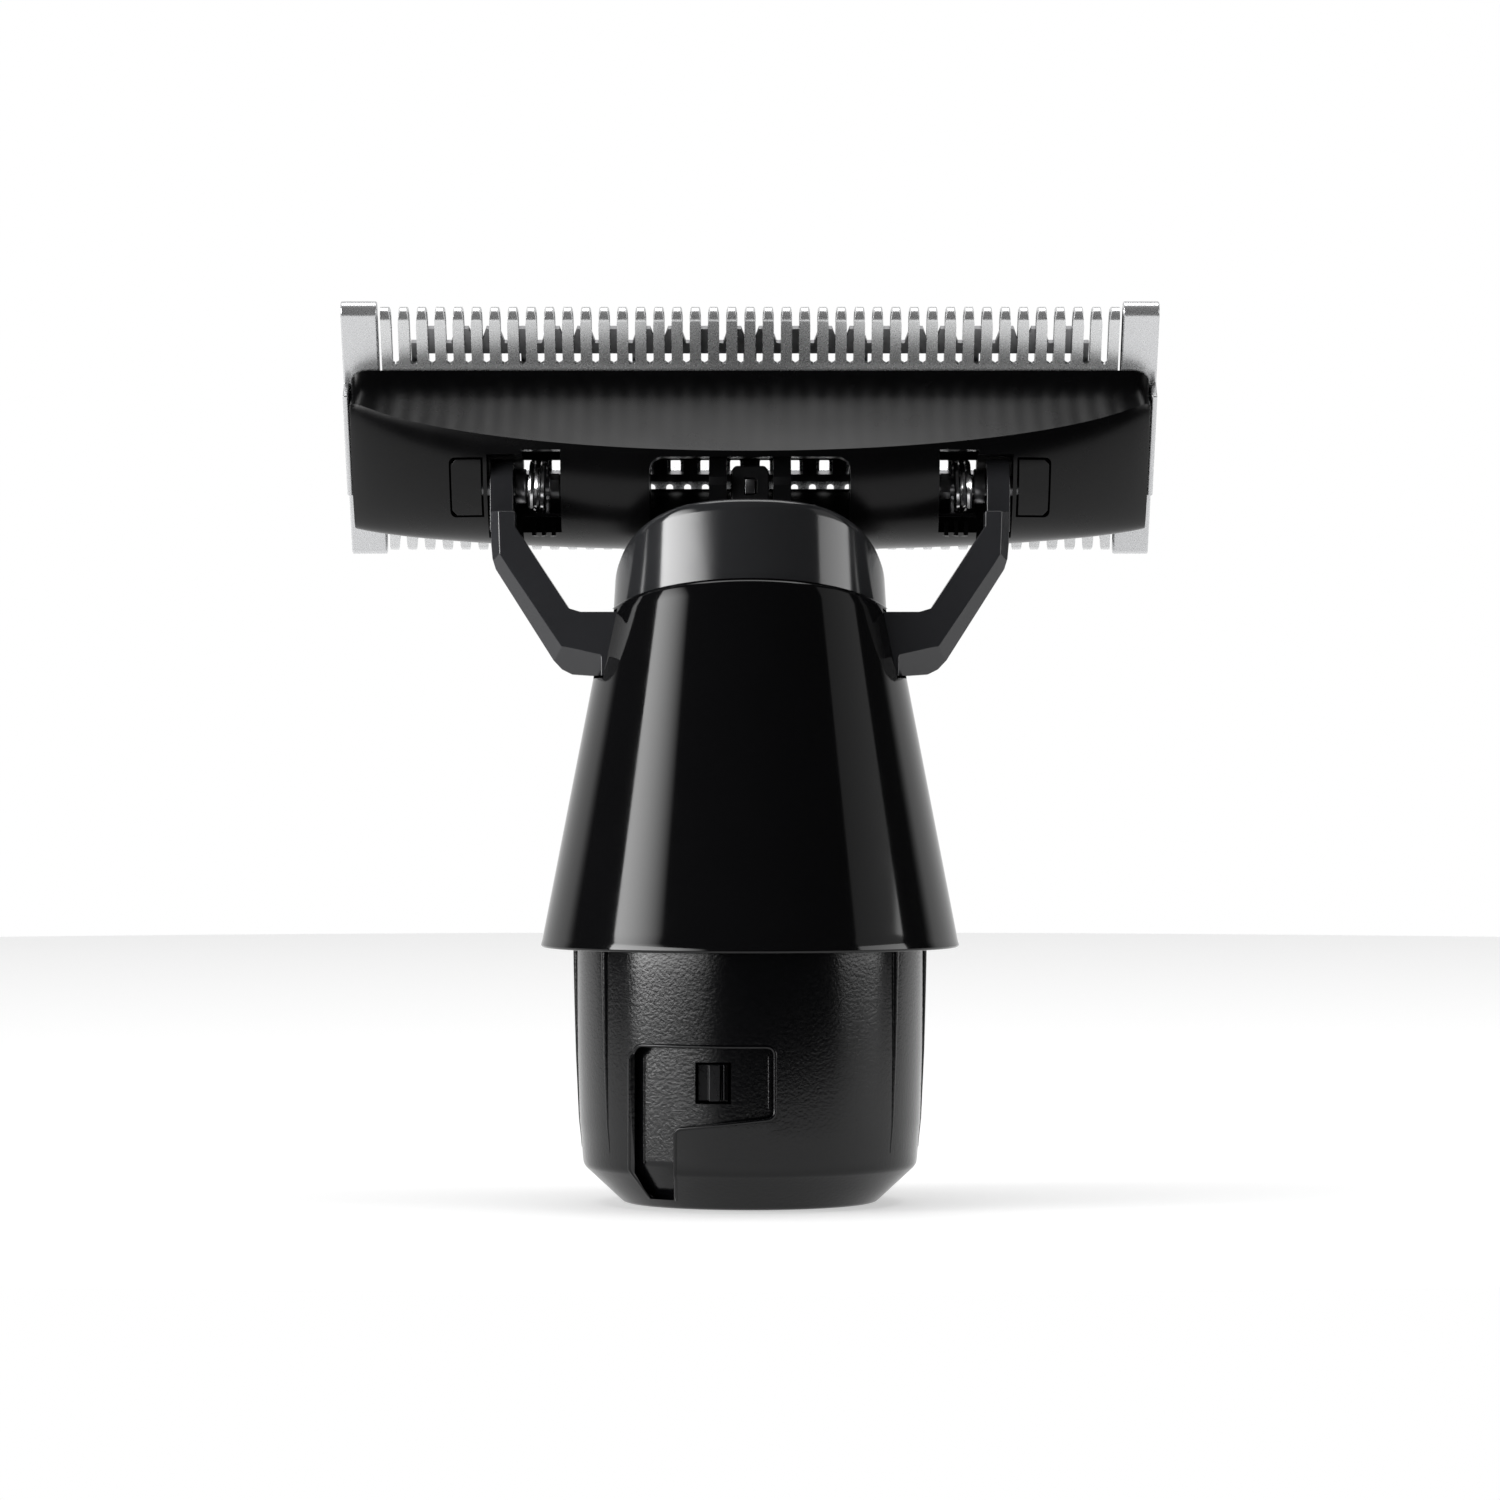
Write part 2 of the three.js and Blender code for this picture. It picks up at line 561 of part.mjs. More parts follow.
// The centre line of a torsion spring: a leg, a coil round the pivot and a second leg.
class SpringLine extends THREE.Curve {
  getPoint(t) {
    const start = THREE.MathUtils.degToRad(-60);
    const end = start + SPRING.turns * 2 * Math.PI;
    const { radius, from: x0, to: x1 } = SPRING;
    const place = (angle, x, out) => {
      const y = radius * Math.cos(angle) - out * Math.sin(angle);
      return new THREE.Vector3(x, y, radius * Math.sin(angle) + out * Math.cos(angle));
    };
    if (t < 0.1) return place(start, x0, -0.9 * (1 - t / 0.1));
    if (t > 0.9) return place(end, x1, 0.7 * ((t - 0.9) / 0.1));
    const s = (t - 0.1) / 0.8;
    return place(start + (end - start) * s, x0 + (x1 - x0) * s, 0);
  }
}

function torsionSpring(name, side) {
  const wire = new THREE.Shape();
  wire.absarc(0, 0, SPRING.wire, 0, Math.PI * 2, false);
  const line = new SpringLine();
  const options = { steps: 46, curveSegments: 3, bevelEnabled: false, extrudePath: line };
  const geometry = new THREE.ExtrudeGeometry(wire, options);
  geometry.translate(0, PIVOT.y, PIVOT.z);
  const mesh = piece(name, toGeometry(inHead(geometry)), steel());
  mesh.scale.x = side;
  return mesh;
}

function cutterSpring(name, side) {
  const outline = [
    [7.0, -2.85], [8.2, -2.85], [9.6, -2.4], [11.0, -2.85], [12.2, -2.85], [12.2, -2.7], [11.04, -2.7],
    [9.6, -2.25], [8.16, -2.7], [7.0, -2.7],
  ].map(([x, n]) => [x - 0.9, n]);
  const geometry = plateXY(outline, -0.7, 0.7);
  const mesh = piece(name, toGeometry(toSolid(geometry)), steel());
  mesh.scale.x = side;
  return mesh;
}

function cutterBlade() {
  const c = CUTTER;
  const top = [];
  for (let i = 0; i < c.teeth; i++) {
    const x = (i - (c.teeth - 1) / 2) * c.pitch;
    top.push([x - 0.7, c.root], [x - 0.38, c.tip], [x + 0.38, c.tip], [x + 0.7, c.root]);
  }
  const edge = c.half;
  const outline = [[-edge, c.root], ...top, [edge, c.root]];
  const mirrored = outline.slice().reverse().map(([x, u]) => [x, -u]);
  const shape = [...outline, ...mirrored];
  // The outline lies in x and z, so it is pushed along y from back to front.
  let solid = toSolid(plateXZ(shape, c.back, c.front));
  const windows = [];
  for (const side of [-1, 1]) {
    for (let i = 0; i < 6; i++) {
      const x = (i - 2.5) * 6.8;
      windows.push(toSolid(box(x - 3.0, x + 3.0, -3, 1, side * 4.8 - 1.0, side * 4.8 + 1.0)));
    }
    for (let i = 0; i < INNER_SLOT.count; i++) {
      const x = (i - (INNER_SLOT.count - 1) / 2) * c.pitch;
      windows.push(toSolid(box(x - 0.5, x + 0.5, -3, 1, side * 2.55 - 0.7, side * 2.55 + 0.7)));
    }
  }
  solid = solid.subtract(wasm.Manifold.union(windows));
  return piece("cutter_blade", toGeometry(solid), darkSteel());
}

function cutterCarrier() {
  let solid = toSolid(box(-16, 16, -2.15, CUTTER.back - 0.06, -1.2, 1.2));
  for (const side of [-1, 1]) {
    const [x0, x1] = side < 0 ? [-2.5, -1.42] : [1.42, 2.5];
    const post = [[-2.0, -1.2], [-7.3, -1.45], [-7.7, -0.9], [-7.7, 0.9], [-7.3, 1.2], [-2.0, 1.2]];
    solid = solid.add(toSolid(plateYZ(post.reverse(), x0, x1)));
  }
  return piece("cutter_carrier", toGeometry(solid), yokeGrey());
}

// ---- Assembly ----
const neck = new THREE.Group();
neck.name = "neck";
neck.add(couplingCollar(), bayonetDetent());
neck.add(neckScrew("neck_screw_back", -SCREW.y), neckScrew("neck_screw_front", SCREW.y));
neck.add(neckCone(), neckCap(), yokeFrame(), driveSeal(), leverPivotPin(), driveLever(), leverTipInsert());

head.add(headCarrier(), comb(), cutterBlade(), cutterCarrier());
head.add(...both((name, side) => endGuard(`end_guard_${name}`, side)));
head.add(...both((name, side) => sidePanel(`side_panel_${name}`, side)));
head.add(...both((name, side) => pivotPin(`pivot_pin_${name}`, side)));
head.add(...both((name, side) => torsionSpring(`torsion_spring_${name}`, side)));
head.add(...both((name, side) => cutterSpring(`cutter_spring_${name}`, side)));

const group = new THREE.Group();
group.name = "body_groomer_head";
group.add(neck, head);

export default group;
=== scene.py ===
"""Looks of a body groomer's rocking trimmer head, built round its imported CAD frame.

The scene is in metres, with +Z up and +Y to the cutting face. Sizes in this file are in millimetres,
except for the lights and the camera, which are in metres.
"""

import math

import bmesh
import bpy
from mathutils import Matrix, Vector


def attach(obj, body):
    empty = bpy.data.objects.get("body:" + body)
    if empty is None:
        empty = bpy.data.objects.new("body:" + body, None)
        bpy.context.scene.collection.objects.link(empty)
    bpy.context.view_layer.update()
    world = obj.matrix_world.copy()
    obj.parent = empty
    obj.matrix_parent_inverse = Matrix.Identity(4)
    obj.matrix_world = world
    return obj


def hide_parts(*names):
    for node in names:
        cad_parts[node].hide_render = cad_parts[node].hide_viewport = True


MM = 0.001
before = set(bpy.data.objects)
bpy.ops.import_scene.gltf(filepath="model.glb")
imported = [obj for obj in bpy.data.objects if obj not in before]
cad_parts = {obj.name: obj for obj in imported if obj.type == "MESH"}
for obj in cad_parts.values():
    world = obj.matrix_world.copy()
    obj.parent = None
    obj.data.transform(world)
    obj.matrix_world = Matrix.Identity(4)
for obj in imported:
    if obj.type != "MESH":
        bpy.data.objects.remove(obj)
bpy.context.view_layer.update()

# ---- Sizes shared with the CAD part, in millimetres ----
SIDES = (-1, 1)
HALF_TURNS = (0, math.pi)
TILT = math.radians(38)
HEAD_CENTRE = (0.0, 5.0, 47.64)
TO_HEAD = Matrix.Translation(HEAD_CENTRE) @ Matrix.Rotation(TILT, 4, "X")
PIVOT = (0.2, 43.6)

SEAM_HEIGHT, SEAM_SLOPE, SEAM_SAG = 35.5, 0.26, 0.024
CROWN_TOP, CROWN_START, CROWN_SLOPE, CROWN_EASE = 42.6, 8.1, 0.75, 3
CONE_RIM, CONE_RIM_RADIUS, CONE_TAPER, CONE_WALL = 15.5, 12.75, 0.195, 1.3
CONE_RIM_ROUND, CONE_FILLET = 0.16, 0.22
WEB_TOP, WEB_UNDER, WEB_HOLE = 19.2, 17.8, 4.8
LUG_SPAN, LUG_LOW, LUG_TOP = (4.3, 6.3), 18.9, 27
SCREW_Y = 7.1
LEVER_PIN_Z, LEVER_PIN_BORE, LEVER_PIN_REACH = 25, 0.95, 6.45
CAP_RADIUS, CAP_DATUM, CAP_TAPER, CAP_WALL, CAP_GAP = 8.2, 38, 0.06, 1.2, 0.12
CAP_FILLET = 0.55
ARM_BACK, ARM_FRONT, ARM_GAP = -3.3, -0.1, 0.2
NOTCH_LOW, NOTCH_TOP = 31.85, 36.05

COLLAR_WALL = [
    (7.55, 0.0), (7.72, 0.05), (7.86, 0.16), (9.95, 2.1), (10.07, 2.24), (10.15, 2.42), (10.19, 2.7),
    (10.22, 3.1), (10.28, 4.0), (10.38, 5.0), (10.5, 9.0), (10.53, 11.5), (10.55, 14.0), (10.55, 17.3),
]
COLLAR_INSIDE = [
    (10.4, 17.5), (8.9, 17.5), (8.9, 14.6), (4.2, 14.6), (4.2, 13.2), (8.7, 13.2), (8.7, 3.2), (6.2, 1.8),
]
COLLAR_FOOT = (6.2, 0.0)
TRACK_FLOOR = 9.75
WINDOW_X, WINDOW_Z = (-3.26, -1.13), (6.45, 8.94)
RIB_ANGLES = (-124.5, -90, -55.5, 55.5, 90, 124.5)
RIB_LOW, RIB_TOP = 3.3, 17.2

CARRIER_HALF, CARRIER_FRONT, CARRIER_CORNER = 24.45, -1.28, 1.1
CARRIER_BACK, CARRIER_SWEEP, CARRIER_ARC, BACK_LEAN = -7.7, 6.5, 25.6, (0.616, 0.788)
ARM_SLOT, KNUCKLE_RADIUS, PIVOT_BORE = (13.85, 16.0), 1.85, 0.66
SPRING_ROOM = (11.5, 13.9)
COMB_HALF, COMB_TIP, COMB_WALL, COMB_DEPTH, COMB_REAR_END = 22.5, 9.0, 0.28, 1.2, 4.8
SLOT_COUNT, SLOT_PITCH, SLOT_WIDTH, REAR_ROOT, FRONT_ROOT = 40, 1.1106, 0.43, 5.3, 4.35
INNER_COUNT, INNER_PITCH, INNER_WIDTH, INNER_ROOT, INNER_END = 22, 1.845, 0.62, 2.35, 3.3
CUTTER_TIP, CUTTER_ROOT, CUTTER_HALF, CUTTER_BACK, CUTTER_FRONT = 7.6, 6.57, 20.7, -0.76, -0.4
GUARD_NEAR, GUARD_FAR = 22.7, 24.9

# ---- Drawing: angles are in degrees, and the spots' sizes in metres ----
ROUND_POINTS = 192
FILLET_STEPS = 4
SEAM_GUESS, CROWN_GUESS, ROUNDS = 35, 40, 12
SHARP_ANGLE, FACET_ANGLE, UNBEVELLED_ANGLE = 28, 14, 50
SAME_SPOT, DOUBLED_SPOT = 1e-8, 2e-7

# ---- Materials: noise scales are per metre, and grain depths are in metres ----
DRIFT_SCALE, LINE_SCALE, CLOUD_SCALE, BLAST_SCALE = 180, 9000, 3500, 6000
NOISE_SPAN = (0.3, 0.7)
MIX_FACTOR, MIX_FIRST, MIX_SECOND, MIX_RESULT = 0, 6, 7, 2


def new_material(name):
    material = bpy.data.materials.new(name)
    material.use_nodes = True
    nodes = material.node_tree.nodes
    return material, nodes, material.node_tree.links, nodes["Principled BSDF"]


def add_noise(nodes, links, scale, detail=3.0, stretch=(1, 1, 1)):
    where = nodes.new("ShaderNodeTexCoord")
    mapping = nodes.new("ShaderNodeMapping")
    mapping.inputs["Scale"].default_value = stretch
    links.new(where.outputs["Object"], mapping.inputs["Vector"])
    noise = nodes.new("ShaderNodeTexNoise")
    noise.inputs["Scale"].default_value = scale
    noise.inputs["Detail"].default_value = detail
    links.new(mapping.outputs["Vector"], noise.inputs["Vector"])
    return noise


def map_range(nodes, taken, given):
    """A node that turns one pair of limits into another."""
    ramp = nodes.new("ShaderNodeMapRange")
    for socket, value in zip(("From Min", "From Max", "To Min", "To Max"), (*taken, *given)):
        ramp.inputs[socket].default_value = value
    return ramp


def add_gloss(nodes, links, noise, shader, rough):
    """Roughness that wanders between two values with the noise."""
    ramp = map_range(nodes, NOISE_SPAN, rough)
    links.new(noise.outputs["Fac"], ramp.inputs["Value"])
    links.new(ramp.outputs["Result"], shader.inputs["Roughness"])


def add_bump(nodes, links, noise, shader, strength, distance):
    bump = nodes.new("ShaderNodeBump")
    bump.inputs["Strength"].default_value = strength
    bump.inputs["Distance"].default_value = distance
    links.new(noise.outputs["Fac"], bump.inputs["Height"])
    links.new(bump.outputs["Normal"], shader.inputs["Normal"])


def add_tint(nodes, links, noise, shader, colours):
    """Base colour that drifts from the first colour to the second with the noise."""
    mix = nodes.new("ShaderNodeMix")
    mix.data_type = "RGBA"
    mix.inputs[MIX_FIRST].default_value = (*colours[0], 1)
    mix.inputs[MIX_SECOND].default_value = (*colours[1], 1)
    links.new(noise.outputs["Fac"], mix.inputs[MIX_FACTOR])
    links.new(mix.outputs[MIX_RESULT], shader.inputs["Base Color"])


def plastic(name, colours, rough, grain_scale, grain_depth, specular):
    """Moulded plastic: a slight colour drift, uneven gloss and a fine moulded grain."""
    material, nodes, links, shader = new_material(name)
    add_tint(nodes, links, add_noise(nodes, links, DRIFT_SCALE), shader, colours)
    grain = add_noise(nodes, links, grain_scale, 4)
    add_gloss(nodes, links, grain, shader, rough)
    shader.inputs["Specular IOR Level"].default_value = specular
    add_bump(nodes, links, grain, shader, 1.0, grain_depth)
    return material


def brushed_metal(name, colours, rough, stretch, depth):
    """Steel with fine lines along one way."""
    material, nodes, links, shader = new_material(name)
    lines = add_noise(nodes, links, LINE_SCALE, 2, stretch)
    add_tint(nodes, links, lines, shader, colours)
    add_gloss(nodes, links, lines, shader, rough)
    shader.inputs["Metallic"].default_value = 1.0
    add_bump(nodes, links, lines, shader, 0.5, depth)
    return material


def satin_metal(name, colours, rough, metallic):
    """Fine blasted steel: an even surface with a faint cloudiness and uneven gloss."""
    material, nodes, links, shader = new_material(name)
    cloud = add_noise(nodes, links, CLOUD_SCALE, 2)
    add_tint(nodes, links, cloud, shader, colours)
    add_gloss(nodes, links, cloud, shader, rough)
    shader.inputs["Metallic"].default_value = metallic
    add_bump(nodes, links, add_noise(nodes, links, BLAST_SCALE), shader, 0.3, 6e-8)
    return material


def make_materials():
    """Every material, by the short name that dress() takes."""
    deep, black, jet = (0.0014, 0.0014, 0.0016), (0.0026, 0.0026, 0.0029), (0.0036, 0.0036, 0.0040)
    cap = (0.020, 0.0205, 0.022), (0.024, 0.0245, 0.026)
    yoke = (0.026, 0.0265, 0.029), (0.032, 0.0325, 0.036)
    collar = (0.0014, 0.0015, 0.0018), (0.002, 0.0021, 0.0026)
    latch = (0.005, 0.005, 0.0055), (0.008, 0.008, 0.009)
    inner = (0.006, 0.006, 0.0065), (0.010, 0.010, 0.011)
    rubber = (0.008, 0.008, 0.008), (0.013, 0.013, 0.013)
    comb = (0.70, 0.705, 0.71), (0.715, 0.72, 0.725)
    guard = (0.64, 0.645, 0.655), (0.655, 0.66, 0.67)
    cutter = (0.20, 0.20, 0.205), (0.26, 0.26, 0.265)
    insert = (0.16, 0.16, 0.165), (0.22, 0.22, 0.225)
    pin = (0.5, 0.5, 0.51), (0.62, 0.62, 0.63)
    wire = (0.62, 0.62, 0.63), (0.78, 0.78, 0.79)
    along_x, along_z = (0.02, 1, 1), (1, 1, 0.04)
    return {
        "skirt": plastic("skirt_gloss", (black, jet), (0.06, 0.09), 420, 4e-7, 0.3),
        "carrier": plastic("carrier_gloss", (deep, black), (0.23, 0.28), 420, 6e-7, 0.2),
        "cap": plastic("cap_gloss", cap, (0.10, 0.14), 420, 6e-7, 0.5),
        "yoke": plastic("yoke_plastic", yoke, (0.18, 0.24), 2600, 1e-6, 0.6),
        "collar": plastic("collar_grain", collar, (0.15, 0.20), 5200, 1.1e-5, 0.33),
        "latch": plastic("latch_satin", latch, (0.25, 0.35), 3000, 2e-6, 0.3),
        "inner": plastic("inner_satin", inner, (0.3, 0.42), 3000, 3e-6, 0.3),
        "rubber": plastic("seal_rubber", rubber, (0.7, 0.85), 4200, 5e-6, 0.3),
        "comb": satin_metal("comb_steel", comb, (0.265, 0.28), 0.74),
        "guard": satin_metal("guard_steel", guard, (0.265, 0.28), 0.74),
        "cutter": satin_metal("cutter_steel", cutter, (0.28, 0.36), 1.0),
        "insert": brushed_metal("insert_steel", insert, (0.3, 0.4), along_x, 3e-7),
        "pin": brushed_metal("pin_steel", pin, (0.18, 0.28), along_x, 4e-7),
        "wire": brushed_metal("spring_wire", wire, (0.14, 0.22), along_z, 4e-7),
    }


# ---- Points and outlines, in millimetres ----
def polar(radius, angle, z):
    return (radius * math.cos(angle), radius * math.sin(angle), z)


def circle(radius, segments):
    turns = [2 * math.pi * k / segments for k in range(segments)]
    return [(radius * math.cos(a), radius * math.sin(a)) for a in turns]


def hoop(radius, z, segments=ROUND_POINTS):
    return [(x, y, z) for x, y in circle(radius, segments)]


def corner(centre, radius, start, end, steps=5):
    """An arc between two angles in degrees."""
    row = []
    for k in range(steps + 1):
        a = math.radians(start + (end - start) * k / steps)
        row.append((centre[0] + radius * math.cos(a), centre[1] + radius * math.sin(a)))
    return row


def bezier(points, steps, skip_first):
    """Points along a Bezier curve, by blending neighbours of its control points until one is left."""
    row = []
    for k in range(1 if skip_first else 0, steps + 1):
        layer, t = list(points), k / steps
        while len(layer) > 1:
            pairs = zip(layer, layer[1:])
            layer = [(a[0] * (1 - t) + b[0] * t, a[1] * (1 - t) + b[1] * t) for a, b in pairs]
        row.append(layer[0])
    return row


def around(centre, half):
    return (centre - half, centre + half)


def span(side, near, far):
    return sorted((side * near, side * far))


def in_row(count, pitch):
    """Places at an even pitch, centred on 0."""
    return [(k - (count - 1) / 2) * pitch for k in range(count)]


# ---- Meshes: points come in millimetres and leave in metres ----
def mesh_object(name, points, faces, matrix=None):
    mesh = bpy.data.meshes.new(name)
    place = matrix or Matrix.Identity(4)
    mesh.from_pydata([(place @ Vector(p)) * MM for p in points], [], faces)
    mesh.validate()
    mesh.update()
    made = bpy.data.objects.new(name, mesh)
    bpy.context.scene.collection.objects.link(made)
    return made


def ring_skin(rings, closed_rings=True):
    """Faces over a list of closed rings. The last ring joins the first, or else both ends are capped."""
    count = len(rings[0])
    points = [p for ring in rings for p in ring]
    faces = []
    last = len(rings) if closed_rings else len(rings) - 1
    for r in range(last):
        low, high = r * count, ((r + 1) % len(rings)) * count
        for k in range(count):
            n = (k + 1) % count
            faces.append((low + k, low + n, high + n, high + k))
    if not closed_rings:
        faces.append(tuple(reversed(range(count))))
        faces.append(tuple(range((len(rings) - 1) * count, len(rings) * count)))
    return points, faces


def face_out(made):
    """Joins points at the same spot and turns every face outwards."""
    work = bmesh.new()
    work.from_mesh(made.data)
    bmesh.ops.remove_doubles(work, verts=work.verts, dist=SAME_SPOT)
    bmesh.ops.recalc_face_normals(work, faces=work.faces)
    work.to_mesh(made.data)
    work.free()


def gathered(name, stacks, matrix=None):
    """One mesh from several separate stacks of rings, each capped at both ends."""
    points, faces = [], []
    for rings in stacks:
        more, more_faces = ring_skin(rings, False)
        start = len(points)
        points.extend(more)
        faces.extend(tuple(start + k for k in face) for face in more_faces)
    made = mesh_object(name, points, faces, matrix)
    face_out(made)
    return made


def prism(name, outline, low, high, axis, matrix=None):
    """An outline pushed along an axis. Its two numbers are the other two axes in X, Y, Z order."""
    def at(a, b, c):
        return {"X": (c, a, b), "Y": (a, c, b), "Z": (a, b, c)}[axis]

    rings = [[at(a, b, c) for a, b in outline] for c in (low, high)]
    made = mesh_object(name, *ring_skin(rings, False), matrix)
    face_out(made)
    return made


def slab(name, x, y, z, matrix=None):
    """A block between two limits on each axis."""
    outline = [(x[0], y[0]), (x[1], y[0]), (x[1], y[1]), (x[0], y[1])]
    return prism(name, outline, z[0], z[1], "Z", matrix)


def rod(name, radius, low, high, axis, centre, segments=40):
    outline = [(centre[0] + a, centre[1] + b) for a, b in circle(radius, segments)]
    return prism(name, outline, low, high, axis)


def box_stack(x, n, u):
    """A block for gathered(), as two square rings."""
    return [[(x[0], k, u[0]), (x[1], k, u[0]), (x[1], k, u[1]), (x[0], k, u[1])] for k in n]


def apply_all(made):
    """Bakes an object's modifiers into its mesh."""
    view = bpy.context.view_layer
    view.update()
    seen = made.evaluated_get(bpy.context.evaluated_depsgraph_get())
    baked = bpy.data.meshes.new_from_object(seen)
    made.modifiers.clear()
    made.data = baked


def combine(made, others, operation):
    """Cuts away or joins on each of the other solids, and deletes them."""
    for other in others:
        step = made.modifiers.new("join", "BOOLEAN")
        step.object = other
        step.operation = operation
        step.solver = "EXACT"
    apply_all(made)
    for other in others:
        bpy.data.objects.remove(other)
    return made


def soften(made, width, segments=3, angle=SHARP_ANGLE, clamp=True):
    """Rounds every sharp edge by width millimetres, or at width 0 leaves it sharp. The rest is smooth."""
    if width > 0:
        step = made.modifiers.new("round", "BEVEL")
        step.width = width * MM
        step.segments = segments
        step.limit_method = "ANGLE"
        step.angle_limit = math.radians(angle)
        step.harden_normals = True
        step.use_clamp_overlap = clamp
        step.miter_outer = "MITER_ARC"
    for face in made.data.polygons:
        face.use_smooth = True
    if width <= 0:
        made.data.set_sharp_from_angle(angle=math.radians(UNBEVELLED_ANGLE))
    apply_all(made)
    even = made.modifiers.new("normals", "WEIGHTED_NORMAL")
    even.mode = "FACE_AREA_WITH_ANGLE"
    even.weight = 60
    even.keep_sharp = width <= 0
    apply_all(made)
    return made


def dress(made, material, body, slot, *nodes):
    """Gives a piece its material and its body, and hides the CAD nodes that it stands in for. The slot is
    not used.
    """
    made.data.materials.clear()
    made.data.materials.append(MATERIALS[material])
    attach(made, body)
    if nodes:
        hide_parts(*nodes)


# ---- Neck ----
def seam(y):
    """Height of the slanting seam between the cone and the cap."""
    return SEAM_HEIGHT - SEAM_SLOPE * y - (SEAM_SAG * y * y if y > 0 else 0)


def crown(y):
    """Height of the cap's top."""
    t = max(y + CROWN_START, 0)
    return CROWN_TOP - CROWN_SLOPE * t * t / (t + CROWN_EASE)


def cap_foot(y):
    return seam(y) + CAP_GAP


def cone_radius(z):
    return CONE_RIM_RADIUS - CONE_TAPER * (z - CONE_RIM)


def cap_radius(z):
    return CAP_RADIUS - CAP_TAPER * (z - CAP_DATUM)


def height_on(radius_at, curve, angle, start):
    """Where a curve over y meets a round wall whose radius changes with height, closed in on by rounds."""
    z = start
    for _ in range(ROUNDS):
        z = curve(radius_at(z) * math.sin(angle))
    return z


def notches(near, grow):
    """Openings for the yoke's arms, from a distance off the middle to beyond the wall."""
    y = (ARM_BACK - ARM_GAP, ARM_FRONT + ARM_GAP)
    return [slab("notch", span(side, near, 14), y, (NOTCH_LOW - grow, NOTCH_TOP)) for side in SIDES]


def cone_ring(fraction, inset, drop):
    """A ring part of the way from the rim up to the seam, whose height changes round the cone."""
    row = []
    for k in range(ROUND_POINTS):
        a = 2 * math.pi * k / ROUND_POINTS
        top = height_on(cone_radius, seam, a, SEAM_GUESS) - drop
        z = CONE_RIM + (top - CONE_RIM) * fraction
        row.append(polar(cone_radius(z) - inset, a, z))
    return row


def cone_rings():
    """The cone from its rounded rim, up the outside, over the seam and down the inside to the web."""
    rim, fillet, rows = CONE_RIM_ROUND, CONE_FILLET, 40
    quarter = [math.pi / 2 * k / FILLET_STEPS for k in range(FILLET_STEPS + 1)]
    rings = []
    for a in quarter:
        rings.append(hoop(CONE_RIM_RADIUS - rim + rim * math.sin(a), CONE_RIM + rim - rim * math.cos(a)))
    for k in range(1, rows + 1):
        rings.append(cone_ring(k / rows, 0, fillet))
    for a in quarter[1:]:
        rings.append(cone_ring(1, fillet * (1 - math.cos(a)), fillet * (1 - math.sin(a))))
    rings.append(cone_ring(1, CONE_WALL, 0))
    inside = [
        (cone_radius(WEB_TOP) - CONE_WALL, WEB_TOP), (WEB_HOLE, WEB_TOP), (WEB_HOLE, WEB_UNDER),
        (11.0, WEB_UNDER), (11.45, CONE_RIM),
    ]
    return rings + [hoop(radius, z) for radius, z in inside]


def skirt_cone():
    """The cone is skinned ring by ring, so that its gloss stays true up to the slanting seam."""
    made = mesh_object("skirt_cone", *ring_skin(cone_rings()))
    face_out(made)
    combine(made, notches(6.3, 0), "DIFFERENCE")
    extras = []
    for side in SIDES:
        extras.append(slab("lug", (-2, 2), span(side, *LUG_SPAN), (LUG_LOW, LUG_TOP)))
        extras.append(rod("boss", 1.6, 15.0, 19.0, "Z", (0, side * SCREW_Y)))
    combine(made, extras, "UNION")
    bore = rod("pin_bore", LEVER_PIN_BORE, -LEVER_PIN_REACH, LEVER_PIN_REACH, "Y", (0, LEVER_PIN_Z))
    combine(made, [bore], "DIFFERENCE")
    dress(soften(made, 0), "skirt", "neck", "skirt_gloss", "neck_cone")


def cap_outside_rings():
    """The cap's wall up from the seam, and the soft edge over to the crown."""
    rows, turns = 20, 6
    spots = []
    for k in range(ROUND_POINTS):
        a = 2 * math.pi * k / ROUND_POINTS
        low = height_on(cap_radius, cap_foot, a, SEAM_GUESS)
        edge = height_on(cap_radius, crown, a, CROWN_GUESS)
        spots.append((a, low, edge, min(CAP_FILLET, max((edge - low) * 0.6, 0.1))))
    rings = []
    for k in range(rows + 1):
        row = []
        for a, low, edge, soft in spots:
            z = low + (edge - soft - low) * k / rows
            row.append(polar(cap_radius(z), a, z))
        rings.append(row)
    for k in range(1, turns + 1):
        turn = math.pi / 2 * k / turns
        row = []
        for a, _, edge, soft in spots:
            r = cap_radius(edge) - soft * (1 - math.cos(turn))
            drop = crown(r * math.sin(a)) - edge
            row.append(polar(r, a, edge + drop * math.sin(turn) - soft * (1 - math.sin(turn))))
        rings.append(row)
    return rings


